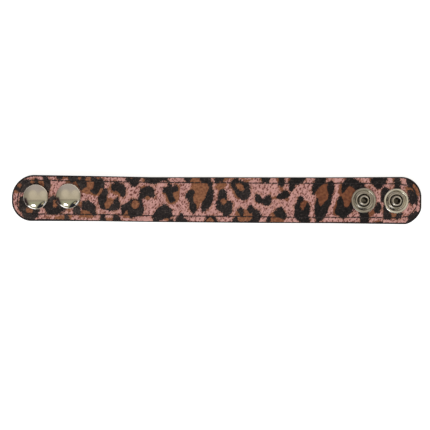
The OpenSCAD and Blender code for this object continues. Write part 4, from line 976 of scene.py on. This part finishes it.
def black_with_wear_and_sheen(g, x, wear_sheen_cloud, deeper, specks):
    """Black of the spots: a painted sheen haze, more to the cap end, and grey specks of wear and painted
    sheen, most along the stitching.
    """
    wear_and_sheen = g.times(g.fade(wear_sheen_cloud, 0.0, 0.75, 0.30, 1.0), g.fade(x, -85, -55, 0.95, 0.75))
    wear_and_sheen = g.times(wear_and_sheen, g.fade(deeper, 0.0, 1.0, 1.0, 0.62))
    wear_and_sheen = g.larger(wear_and_sheen, g.attribute("seam_wear_sheen"))
    # painted sheen: a lighter haze on the black, strongest at the cap end
    painted_sheen = g.times(g.fade(wear_sheen_cloud, 0.36, 0.72, 0.0, 0.18), g.fade(x, -85, -45, 1.0, 0.22))
    painted_sheen = g.times(painted_sheen, g.fade(deeper, 0.0, 1.0, 1.0, 0.6))
    ink = g.mix(painted_sheen, g.mix(deeper, BLACK_PRINT, BLACK_DEEP), BLACK_WEAR_AND_SHEEN)
    return g.mix(g.times(specks, wear_and_sheen), ink, BLACK_WEAR_AND_SHEEN)


def blotched_tan(g, deeper, dots):
    """Brown of the spots: blotchy, with a few dots, and redder where the spots deepen."""
    blotch = g.group(MOTTLE, Size=1.2, Contrast=3.2)["Value"]
    plain, red = g.mix(blotch, BROWN_DARK, BROWN_WARM), g.mix(blotch, BROWN_RED_DARK, BROWN_RED)
    return g.mix(g.times(dots, 0.55), g.mix(deeper, plain, red), FLECK_RED)


def printed_look():
    """Printed leather: pink ground, ragged brown and black spots with brown fringes, and a dyed edge.

    A spot is where its depth in the chart plus a ragged noise, both in millimetres, is over about zero.
    """
    look, g, shader = new_look("printed_leather")
    where = g.place()
    x = g.split(where)[0]
    fine = g.minus(g.noise(where, 1.7, 3.0, 0.65), 0.5)
    hairs = g.minus(g.noise(g.place((620, 2300, 1000), -HAIR_LEAN), 1.0, 2.0, 0.6), 0.5)
    ragged = g.plus(g.times(fine, 2.1), g.times(hairs, 3.2))
    dots = dashes(g, CROSS_LEAN, 0.35, 0.75)
    wear_sheen_cloud = g.group(MOTTLE, Size=5.0, Contrast=1.6)["Value"]
    specks = g.fade(g.plus(g.noise(where, 1.15, 3.0, 0.7), g.times(hairs, 0.6)), 0.46, 0.88)
    deeper = g.times(g.fade(x, *DEEPER[:2]), g.fade(x, *DEEPER[2:], 1.0, 0.0))

    black_depth, brown_depth = g.attribute("black_depth"), g.attribute("brown_depth")
    black = g.fade(g.plus(black_depth, ragged), -0.40, -0.12)
    brown = g.fade(g.plus(brown_depth, g.times(ragged, 0.8)), -0.22, 0.18)
    fringe = g.fade(g.plus(black_depth, g.times(ragged, 1.6)), -1.7, -0.5, 0.0, 0.54)
    patchy = g.fade(g.noise(where, 0.30, 1.0), 0.36, 0.56)
    between = g.times(g.fade(brown_depth, -0.75, -0.45), g.fade(black_depth, -0.85, -0.55))
    dyed = g.fade(g.plus(g.attribute("dye"), g.times(ragged, 0.30)), -0.14, 0.10)

    tan = blotched_tan(g, deeper, dots)
    colour = g.mix(g.times(fringe, patchy), pink_ground(g, hairs, dots), BROWN_WARM)
    colour = g.mix(between, colour, tan)
    colour = g.mix(black, colour, black_with_wear_and_sheen(g, x, wear_sheen_cloud, deeper, specks))
    colour = g.mix(brown, colour, tan)
    colour = g.mix(dyed, colour, BLACK_PRINT)
    grain = g.group(GRAIN, Cells=1.7, Pores=0.6)
    rough = g.fade(wear_sheen_cloud, 0.0, 1.0, 0.42, 0.56)
    dress(g, shader, colour, rough, g.bump(grain["Height"], 0.06, 0.6), specular=0.22)
    return look


def black_look():
    """Dyed black leather of the backing: grained, the creases darkened by painted shade and the grain tops
    rubbed.
    """
    look, g, shader = new_look("black_leather")
    grain = g.group(GRAIN, Cells=1.2, Pores=0.8)
    cloud = g.group(MOTTLE, Size=7.0, Contrast=1.6)["Value"]
    # painted shade darkens the grain's creases
    colour = g.mix(g.times(grain["Crease"], 0.6), g.mix(cloud, BLACK_PRINT, BLACK_WEAR_AND_SHEEN), BLACK_CREASE_SHADE)
    rough = g.fade(cloud, 0.0, 1.0, 0.48, 0.66)
    dress(g, shader, colour, rough, g.bump(grain["Height"], 0.09, 0.7), specular=0.4)
    return look


def nickel_look():
    """Plated nickel: fine turning lines by radius, faint scratches, and painted shade and painted
    reflections.

    The attribute of painted shade darkens as painted shade and painted dark reflections where it is over
    zero, and paints highlights where it is under. The attribute dull adds dark rings and roughness.
    """
    look, g, shader = new_look("nickel")
    radius, dull, shade_and_highlight = g.attribute("turning"), g.attribute("dull"), g.attribute("painted_shade")
    cloud = g.group(MOTTLE, Size=3.0, Contrast=1.4)["Value"]
    lines = g.noise(radius, 5.0, 3.0)
    scratches = g.noise(g.place((400, 6000, 900), math.radians(33)), 1.0)
    rings = g.times(g.fade(g.noise(radius, 1.9), 0.36, 0.50, 0.60, 0.0), dull)
    patches = g.fade(g.noise(g.place(), 1.1, 3.0), 0.30, 0.60, 0.55, 1.0)
    # painted shade where the field is over zero, made patchy, and painted highlights where it is under
    painted_shade = g.times(g.larger(shade_and_highlight, 0.0), patches)
    painted_highlight = g.larger(g.times(shade_and_highlight, -1.0), 0.0)

    colour = g.mix(painted_highlight, g.mix(cloud, NICKEL_DEEP, NICKEL_BRIGHT), NICKEL_PAINTED_HIGHLIGHT)
    colour = g.mix(rings, colour, NICKEL_RINGS)
    colour = g.mix(painted_shade, colour, NICKEL_PAINTED_SHADE)
    rough = 0.05
    for part, share in ((scratches, 0.04), (painted_shade, 0.25), (dull, 0.26), (cloud, 0.03)):
        rough = g.plus(g.times(part, share), rough)
    height = g.times(g.plus(g.times(lines, 0.6), g.times(scratches, 0.2)), g.plus(dull, 0.25))
    dress(g, shader, colour, rough, g.bump(height, 0.014, 0.35), metallic=1.0)
    return look


def thread_look():
    """Black waxed sewing thread, with a painted highlight that makes it a little lighter where the strands
    crown.
    """
    look, g, shader = new_look("black_thread")
    strand = g.noise(g.place((2500, 2500, 2500)), 1.0)
    colour = g.mix(strand, THREAD_DARK, THREAD_CROWN_HIGHLIGHT)
    rough = g.fade(strand, 0.2, 0.8, 0.5, 0.7)
    dress(g, shader, colour, rough, g.bump(strand, 0.02, 0.5), specular=0.35)
    return look


PRINTED = printed_look()
BLACK = black_look()
NICKEL = nickel_look()
THREAD = thread_look()


# The two leathers

# Depth of the groove under the stitches and of the pits at their needle holes
FACE_GROOVE, FACE_PIT = 0.14, 0.16
BACK_GROOVE, BACK_PIT = 0.42, 0.10
FACE_SINK = 0.03            # keeps the waves of the face inside the solid's height
BACK_THREAD_LEVEL = 0.34    # the thread below lies in its groove, clear of the table

NET = strap_net()
HOLES = stitch_holes()
OUTLINE_X = columns(0)[::3]
LOWER_EDGE, UPPER_EDGE = (np.column_stack([OUTLINE_X, long_edge(OUTLINE_X, side, 0)]) for side in (-1, 1))
OUTLINE = closed(np.vstack([LOWER_EDGE, UPPER_EDGE[::-1]]))


def strap_fields():
    """Plan fields at the net's points: distances to the stitching, needle holes, snaps and outline."""
    flat = NET[0]
    stitch = distance_to(flat, closed(HOLES))
    needle = np.full(len(flat), UNREACHED)
    for hole in HOLES:
        needle = np.minimum(needle, np.linalg.norm(flat - hole, axis=1))
    snap = np.min([np.linalg.norm(flat - spot, axis=1) for spot in SNAPS.values()], axis=0)
    return stitch, needle, snap, distance_to(flat, OUTLINE)


def relief(fields, groove, pit):
    """Height of a leather's outer side over its plain level.

    It sinks along the stitching, at the needle holes and in a ring round each snap, each as a bell
    depth exp(-(distance / width)^2), falls off at the cut edge as depth exp(-distance / width), and waves
    by a few hundredths of a millimetre.
    """
    stitch, needle, snap, edge = fields
    ring_radius = 7.3
    x, y = NET[0].T
    height = np.zeros(len(x))
    for depth, away, width in ((groove, stitch, 0.45), (pit, needle, 0.42), (0.13, snap - ring_radius, 0.8)):
        height -= depth * np.exp(-(away / width) ** 2)
    height -= 0.12 * np.exp(-edge / 0.6)
    height += 0.035 * np.sin(x / 7.3 + 0.4) * np.cos(y / 6.1) + 0.025 * np.sin(x / 3.9 + y / 5.3)
    return height


FIELDS = strap_fields()


def dye_width(flat):
    """Width of the dyed rim at each point: read along X from the table, and blended from edge to edge."""
    blend_width = 16
    upper, lower = (np.interp(flat[:, 0], DYE_TABLE[:, 0], DYE_TABLE[:, k]) for k in (1, 2))
    return lower + (upper - lower) * ease(flat[:, 1] / blend_width + 0.5)


def face_leather():
    """Printed upper leather with the print's depths kept at its points for the material.

    The points past the net's upper side are the skirt and the lower side, which have no print but are dyed.
    """
    flat = NET[0]
    stitch, edge = FIELDS[0], FIELDS[3]
    bottom = underside(flat[:, 0]) + BACK_THICKNESS + GAP
    top = bottom + FACE_THICKNESS + relief(FIELDS, FACE_GROOVE, FACE_PIT) - FACE_SINK
    points, faces, wall_in = sheet_mesh(NET, top, bottom)
    rest = len(points) - len(flat)

    def with_rest(on_top, elsewhere=0.0):
        return np.concatenate([on_top, np.full(rest, elsewhere)])

    values = {
        "black_depth": with_rest(depth_inside(flat, BLACK_SPOTS), -FAR),
        "brown_depth": with_rest(depth_inside(flat, BROWN_SPOTS), -FAR),
        "fleck": with_rest(fleck_strength(flat)),
        # wear and painted sheen along the stitching
        "seam_wear_sheen": with_rest(np.exp(-(stitch / SEAM_WEAR_SHEEN) ** 2)),
        "dye": np.concatenate([dye_width(flat) - edge, np.full(len(flat), 1.0), 1.0 - wall_in]),
    }
    piece = make_piece("face_leather_printed", points, faces, PRINTED, values=values)
    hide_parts("face_leather")


def backing_leather():
    """Plain black under leather, with a groove below that is deep enough to keep the thread off the table."""
    flat = NET[0]
    bottom = underside(flat[:, 0]) - np.minimum(relief(FIELDS, BACK_GROOVE, BACK_PIT), 0)
    top = underside(flat[:, 0]) + BACK_THICKNESS
    points, faces, _ = sheet_mesh(NET, top, bottom)
    piece = make_piece("backing_leather_black", points, faces, BLACK)
    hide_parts("backing_leather")


# Stitches

THREAD_RADIUS = 0.27
STRANDS, STRAND_RELIEF, STRAND_TWIST = 3, 0.10, 18.0
END_SHARE = 0.055           # share of a stitch's length that is down in the hole at each end
END_THINNING = 0.45         # share of the radius that a stitch loses at its ends
SUNK, RISEN = 0.42, 0.45    # depth of a stitch's ends, and how far its middle comes up from there
SKEW = 0.10                 # how far a stitch lies across its line, end to end


def stitch_row(name, surface, way):
    """All the stitches on one side, each a twisted tube from needle hole to needle hole.

    Along a stitch, t runs 0 to 1. The thread's middle rises out of the hole as 1 - |2 t - 1|^6 and its
    section is a circle with three strands: r (1 + 0.1 cos(3 a + twist t)). Way is 1 upwards, -1 downwards.
    """
    around_count, ring_count = 12, 14
    step = np.roll(HOLES, -1, 0) - HOLES
    length = np.linalg.norm(step, axis=1, keepdims=True)
    along = step / length
    side = np.stack([-along[:, 1], along[:, 0]], -1)
    t = np.linspace(END_SHARE, 1 - END_SHARE, ring_count)
    lift = 1 - np.abs(2 * t - 1) ** 6
    middle = HOLES[:, None] + along[:, None] * (t[:, None] * length[:, None])
    middle = middle + side[:, None] * (SKEW * (t - 0.5))[:, None]
    level = surface(middle[..., 0]) + way * (RISEN * lift - SUNK)
    around = np.linspace(0, 2 * math.pi, around_count, endpoint=False)
    strands = 1 + STRAND_RELIEF * np.cos(STRANDS * around + STRAND_TWIST * t[:, None])
    radius = THREAD_RADIUS * strands * (1 - END_THINNING + END_THINNING * lift[:, None])
    plan = middle[:, :, None] + side[:, None, None] * (radius * np.cos(around))[..., None]
    height = level[:, :, None] + way * radius * np.sin(around)
    points = np.concatenate([plan, height[..., None]], -1).reshape(-1, 3)
    count = len(HOLES)
    number = np.arange(count * ring_count * around_count).reshape(count, ring_count, around_count)
    after = np.roll(number, -1, 2)
    walls = np.stack([number[:, :-1], after[:, :-1], after[:, 1:], number[:, 1:]], -1).reshape(-1, 4)
    ends = np.vstack([number[:, 0, ::-1], number[:, -1]])
    make_piece(name, points, upright(points, [walls, ends]), THREAD)


# Snap pieces, as sections of (radius, height) turned about the snap's line

def cap_section():
    """Thin pressed skin: a shallow dome, a tight rolled edge, and the rim curled in underneath.

    The dome's radius is (x^2 + rise^2 - r^2) / (2 (rise - r)), so that it runs smoothly into the circle of
    radius r at x that makes the edge. The inner side is the same, a skin's thickness in.
    """
    skin, edge_r, edge_x, curl_x, rise = 0.4, 1.0, 6.0, 5.2, 2.3
    dome_r = (edge_x ** 2 + rise ** 2 - edge_r ** 2) / (2 * (rise - edge_r))
    dome, edge = (0, CAP_HEIGHT - dome_r), (edge_x, edge_r)
    meet = math.degrees(math.atan2(edge_r - dome[1], edge_x))
    outer = arc(dome, dome_r, 90, meet, 36) + arc(edge, edge_r, meet, -90, 26)[1:]
    inner = arc(edge, edge_r - skin, -90, meet, 14) + arc(dome, dome_r - skin, meet, 90, 16)[1:]
    section = outer + [(curl_x, 0), (curl_x, skin)] + inner
    section[0], section[-1] = (0, section[0][1]), (0, section[-1][1])
    return section


def stud_section():
    """Pressed stud: a broad rolled rim, a valley, a raised ring, a deep groove, and the hollow head."""
    bore, rim_r, rim_x, crown_r, head_r, neck_r = 2.15, 0.5, 6.45, 0.35, 2.75, 2.45
    head_top = STUD_TOP - 2 * ROLL - GAP
    neck_top, head_foot = head_top - 1.25, head_top - 1.0
    shape = [(6.05, 0.99), (5.75, 0.90), (5.55, 0.74), (5.38, 0.50), (5.15, 0.38), (4.85, 0.38),
             (4.62, 0.50), (4.42, 0.76), (4.20, 0.94), (3.95, 1.00), (3.72, 0.96), (3.55, 0.82),
             (3.44, 0.58), (3.36, 0.32), (3.15, 0.24), (neck_r + 0.2, 0.24), (neck_r, 0.5)]
    rim_centre = (rim_x, rim_r)
    dish = smooth_line(arc(rim_centre, rim_r, 60, 80, 3) + shape, 0.06)
    return ([(bore, 0)] + arc(rim_centre, rim_r, -90, 54, 16) + dish
            + [(neck_r, neck_top), (head_r, head_foot), (head_r, head_top - crown_r)]
            + arc((head_r - crown_r, head_top - crown_r), crown_r, 15, 90, 6) + [(bore, head_top)])


def socket_section(height):
    """Plain socket: a flange against the leather, a body, and an open mouth facing the table."""
    flange_r, flange, body_r, foot_r, bevel, cove = 6.4, 0.6, 5.2, 4.7, 0.5, 0.15
    bore, chamber, web_hole, web, mouth = 2.9, 3.3, 2.15, 0.35, 0.3
    chamber_foot = height - web - 2 * ROLL - 0.25
    outside = [(bore + mouth, 0), (foot_r, 0), (body_r, bevel), (body_r, height - flange - cove),
               (body_r + cove, height - flange)]
    inside_walls = [(web_hole, height), (web_hole, height - web), (chamber, height - web),
                    (chamber, chamber_foot), (bore, chamber_foot), (bore, mouth)]
    return outside + arc((flange_r - flange / 2, height - flange / 2), flange / 2, -90, 90, 8) + inside_walls


def stud_post_section(top):
    """Plain flange under the leather with a hollow barrel up through the stud, its end rolled over."""
    flange_r, flange, rim, barrel, bore, floor, fillet = 5.8, 0.65, 0.3, 2.1, 1.8, 0.35, 0.1
    return ([(0, 0), (flange_r - 2 * rim, 0)] + arc((flange_r - rim, rim), rim, -60, 60, 6)
            + [(flange_r - 2 * rim, flange), (barrel, flange), (barrel, top - 2 * ROLL)]
            + arc((bore + ROLL, top - ROLL), ROLL, -90, 180, 16) + [(bore, floor + fillet), (0, floor)])


# Painted shade and painted dark reflections by radius, deepest in the bores and the groove under each stud's
# head: [radius, strength]. The caps have none
CAP_PAINTED_SHADE = np.array([[0, 0], [7, 0]])
SOCKET_PAINTED_SHADE = np.array([[0, 0.9], [3.3, 0.9], [3.4, 0.1], [5.1, 0.1], [5.3, 0.4], [5.5, 0.1], [6.4, 0]])
STUD_PAINTED_SHADE = np.array([
    [0, 0], [2.50, 0], [2.66, 0.35], [2.76, 1.0], [3.50, 1.0], [3.66, 0.25], [3.80, 0], [4.25, 0],
    [4.50, 0.30], [4.75, 0.15], [4.95, 0.50], [5.30, 0.45], [5.50, 0.05], [6.02, 0.05], [6.12, 0.45],
    [6.22, 0.05], [7, 0],
])
# painted shade down the post's bore
POST_PAINTED_SHADE = np.array([
    [0, 0.55], [0.9, 0.62], [1.25, 0.92], [1.5, 0.95], [1.79, 1.0], [1.85, 0.1], [2.2, 0], [2.6, 0], [6, 0.2],
])
# How dull each stud is, from 0 to 1
STUD_DULL = {"inner": 0.8, "outer": 0.5}
# Painted reflections and painted shadows on the studs, dark where the strength is over zero and painted
# highlights where it is under: [bearing, half width in degrees, lowest and highest radius, strength]
STUD_PAINTED_PATCHES = {
    "inner": [[262, 48, 4.2, 5.6, 1.0], [180, 70, 4.3, 5.0, 0.85], [140, 60, 5.3, 6.1, 0.6],
              [318, 28, 5.5, 6.4, 0.8], [58, 70, 2.9, 4.4, 0.9], [322, 20, 6.2, 7.2, -1.0],
              [208, 30, 5.0, 5.7, -1.0], [135, 28, 3.5, 4.4, -1.0], [100, 70, 4.8, 5.9, -0.3],
              [312, 40, 4.3, 5.4, -0.8], [90, 180, 5.7, 7.6, 0.22], [270, 180, 5.7, 7.6, 0.22]],
    "outer": [[242, 34, 4.1, 5.5, 1.0], [172, 38, 4.2, 5.6, 0.65], [42, 70, 2.9, 4.4, 0.9],
              [320, 60, 3.2, 4.0, 0.35], [50, 70, 5.6, 7.4, -1.0], [252, 60, 5.5, 7.3, -1.0],
              [150, 80, 5.6, 7.6, -1.0], [335, 60, 4.4, 7.2, -0.8]],
}


def hump(share):
    """Cosine that is 1 at a share of 0 and falls to 0 at half a share on either side."""
    return np.cos(np.clip(share, -0.5, 0.5) * math.pi)


def snap_piece(node, section, base, segments, painted_shade, dull=0.0, painted_patches=(), unshaded_up_to=0.0):
    """One turned snap piece in the place of its solid, with its radius, painted shade and dullness at its
    points.

    A painted patch adds to the painted shade: it fades as a squared cosine round its bearing and as a cosine
    over the radii, and one under zero is a painted highlight. The lowest part of the piece, up to the given
    height, has no painted shade.
    """
    middle = centre(node)
    points, faces, radii = turned_mesh(section, middle, base, segments)
    shade_at_points = np.interp(radii, painted_shade[:, 0], painted_shade[:, 1])
    turn = np.arctan2(points[:, 1] - middle[1], points[:, 0] - middle[0])
    # painted reflections, painted shadows and painted highlights, patch by patch
    for bearing, half, low, high, strength in painted_patches:
        off = (turn - math.radians(bearing) + math.pi) % (2 * math.pi) - math.pi
        around = hump(off / math.radians(2 * half)) ** 2
        over = hump((radii - (low + high) / 2) / (high - low))
        shade_at_points = shade_at_points + strength * around * over
    shade_at_points = np.where(points[:, 2] < base + unshaded_up_to, 0.0, shade_at_points)
    values = {"turning": radii, "painted_shade": np.clip(shade_at_points, -1, 1), "dull": np.full(len(points), dull)}
    piece = make_piece(node + "_pressed", points, faces, NICKEL, math.radians(35), values)
    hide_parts(node)


face_leather()
backing_leather()
stitch_row("stitches_face", lambda x: underside(x) + LEATHER, 1)
stitch_row("stitches_back", lambda x: underside(x) + BACK_THREAD_LEVEL, -1)
SMOOTH_TURN, PLAIN_TURN = 128, 96       # segments round a turned piece
for side in ("outer", "inner"):
    snap_piece("cap_" + side, cap_section(), CAP_FOOT, SMOOTH_TURN, CAP_PAINTED_SHADE)
    snap_piece("socket_" + side, socket_section(SOCKET_HEIGHT), 0, PLAIN_TURN, SOCKET_PAINTED_SHADE)
    snap_piece("stud_" + side, stud_section(), STUD_FOOT, SMOOTH_TURN, STUD_PAINTED_SHADE,
               STUD_DULL[side], STUD_PAINTED_PATCHES[side])
    snap_piece("stud_post_" + side, stud_post_section(POST_HEIGHT), 0, PLAIN_TURN, POST_PAINTED_SHADE,
               dull=1.0, unshaded_up_to=0.3)
    for slot in bpy.data.objects["cap_post_" + side].material_slots:
        slot.material = NICKEL


# Floor, light and camera

def plain_floor():
    """A wide white floor just under the part, lit from within enough to read as paper white."""
    wide, level = 4.0, -0.05 * MM
    grey, lighter_grey, glow = (0.50, 0.50, 0.50, 1), (0.54, 0.54, 0.54, 1), 0.80
    mesh = bpy.data.meshes.new("floor")
    mesh.from_pydata([(-wide, -wide, level), (wide, -wide, level), (wide, wide, level), (-wide, wide, level)],
                     [], [(0, 1, 2, 3)])
    look, g, shader = new_look("floor_white")
    g.feed(shader.inputs["Base Color"], g.mix(g.noise(g.place(), 0.01), grey, lighter_grey))
    shader.inputs["Roughness"].default_value = 0.9
    shader.inputs["Specular IOR Level"].default_value = 0.1
    shader.inputs["Emission Color"].default_value = (1, 1, 1, 1)
    shader.inputs["Emission Strength"].default_value = glow
    mesh.materials.append(look)
    floor = bpy.data.objects.new("floor", mesh)
    bpy.context.scene.collection.objects.link(floor)


def soft_light(name, size, power):
    """An oval light that faces the part from the front, its long side along X."""
    distance, tilt, bearing = 3.0, math.radians(40.0), math.radians(239.5)
    light = bpy.data.lights.new(name, "AREA")
    light.shape = "ELLIPSE"
    light.size, light.size_y = size
    light.energy = power
    lamp = bpy.data.objects.new(name, light)
    away = np.array([math.sin(tilt) * math.cos(bearing), math.sin(tilt) * math.sin(bearing), math.cos(tilt)])
    across = np.array([1, 0, 0]) - away[0] * away
    across = across / np.linalg.norm(across)
    turn = np.eye(4)
    turn[:3] = np.column_stack([across, np.cross(away, across), away, distance * away])
    lamp.matrix_world = turn.T
    bpy.context.scene.collection.objects.link(lamp)
    return lamp


# Colours of the surroundings
SKY_WARM = (0.645, 0.595, 0.480, 1)
SKY_BACK = (0.530, 0.490, 0.475, 1)
SKY_FRONT = (0.42, 0.39, 0.31, 1)
SKY_LOW_FRONT = (0.45, 0.46, 0.34, 1)
SKY_DARK = (0.02, 0.017, 0.015, 1)
# Round things that the nickel mirrors: [bearing, elevation, radius, soft edge] in degrees, colour
SKY_ROUNDS = [
    ([150, 66, 11, 10], (0.73, 0.675, 0.555)),          # soft lamp glow on the left
    ([33, 64, 9, 9], (0.72, 0.665, 0.555)),             # soft lamp glow on the right
    ([302, 27, 36, 3], (0.022, 0.024, 0.034)),          # dark corner at the front right
]
# Windows: [bearing, half width, lowest, highest, soft edge] in degrees, colour
SKY_WINDOWS = [
    ([202, 18, -12, 43, 5], (0.050, 0.032, 0.036)),     # dark doorway on the left
    ([338, 12, 42, 57, 5], (0.62, 0.57, 0.48)),         # wall beside the dark corner
    ([307, 10, 54, 58.5, 1.5], (0.70, 0.64, 0.42)),     # small pane in that corner
    ([317, 14, 43, 50, 2.5], (1.9, 1.95, 2.15)),        # bright pane at the front right
    ([240, 18, 3, 37, 4], (2.1, 2.2, 2.45)),            # low in front
    ([48, 28, 2, 34, 5], (0.95, 0.88, 0.76)),           # pale wall at the back right
    ([304, 44, -8, 25, 4], (0.42, 0.39, 0.31)),         # low wall under the dark corner
]


def studio_sky():
    """Surroundings that the nickel shows: warm above, grey to the back, duller to the sides and the front.

    They are dark at the horizon, and have the round things and the windows of the tables in them.
    A direction has the parts across, along and up. It is in a round thing where its product with the middle
    direction is over cos(radius), and in a window where across cos b + along sin b, as a share of the flat
    part, is over cos(half width) and up lies between the sines of the two elevations.
    """
    world = bpy.data.worlds.new("studio")
    world.use_nodes = True
    bpy.context.scene.world = world
    g = Graph(world.node_tree)
    across, along, up = g.split(g.node("ShaderNodeTexCoord").outputs["Generated"])
    colour = g.mix(g.fade(along, 0.02, 0.62), SKY_WARM, SKY_BACK)
    colour = g.mix(g.fade(along, -0.22, -0.15, 1.0, 0.0), colour, SKY_FRONT)
    colour = g.mix(g.fade(along, -0.36, -0.29, 1.0, 0.0), colour, SKY_LOW_FRONT)
    side = g.times(g.fade(across, -0.95, -0.35, 0.50, 1.0), g.fade(across, 0.45, 0.95, 1.0, 0.40))
    horizon = g.fade(up, 0.02, 0.34, 0.22, 1.0)
    colour = g.mix(g.times(side, horizon), SKY_DARK, colour)

    def toward(bearing):
        b = math.radians(bearing)
        return g.plus(g.times(across, math.cos(b)), g.times(along, math.sin(b)))

    def edge(degrees, soft, turn):
        return [turn(math.radians(degrees + k * soft)) for k in (-1, 1)]

    for (bearing, elevation, radius, soft), tint in SKY_ROUNDS:
        e = math.radians(elevation)
        product = g.plus(g.times(toward(bearing), math.cos(e)), g.times(up, math.sin(e)))
        near, far = edge(radius, soft, math.cos)
        colour = g.mix(g.fade(product, far, near), colour, (*tint, 1))
    flat = g.math("SQRT", g.minus(1.0001, g.times(up, up)))     # kept just over zero
    for (bearing, half, lowest, highest, soft), tint in SKY_WINDOWS:
        near, far = edge(half, soft, math.cos)
        patch = g.fade(g.math("DIVIDE", toward(bearing), flat), far, near)
        patch = g.times(patch, g.fade(up, *edge(lowest, soft, math.sin)))
        patch = g.times(patch, g.fade(up, *edge(highest, soft, math.sin), 1.0, 0.0))
        colour = g.mix(patch, colour, (*tint, 1))
    backdrop = g.node("ShaderNodeBackground")
    g.feed(backdrop.inputs["Color"], colour)
    backdrop.inputs["Strength"].default_value = 1.0
    g.feed(g.node("ShaderNodeOutputWorld").inputs["Surface"], backdrop.outputs[0])


def camera():
    """Straight above the strap, as the picture was taken: where it looks, how far, and the width it sees."""
    look_x, look_y, above, strap_level, width_seen, roll = -1.17, -8.8, 525.0, 3.0, 240.6, 0.39
    lens = bpy.data.cameras.new("camera")
    lens.sensor_width = 36.0
    lens.lens = lens.sensor_width * above / width_seen
    lens.clip_start, lens.clip_end = 0.01, 20
    view = bpy.data.objects.new("camera", lens)
    view.location = (look_x * MM, look_y * MM, (above + strap_level) * MM)
    view.rotation_euler = (0, 0, math.radians(roll))
    bpy.context.scene.collection.objects.link(view)
    bpy.context.scene.camera = view


plain_floor()
studio_sky()
soft_light("softbox_front", (0.80, 0.27), 7)
fill = soft_light("fill_front", (1.8, 1.2), 43)
fill.visible_glossy = False  # the nickel shows the softbox alone
camera()
bpy.context.scene.view_settings.view_transform = "Standard"
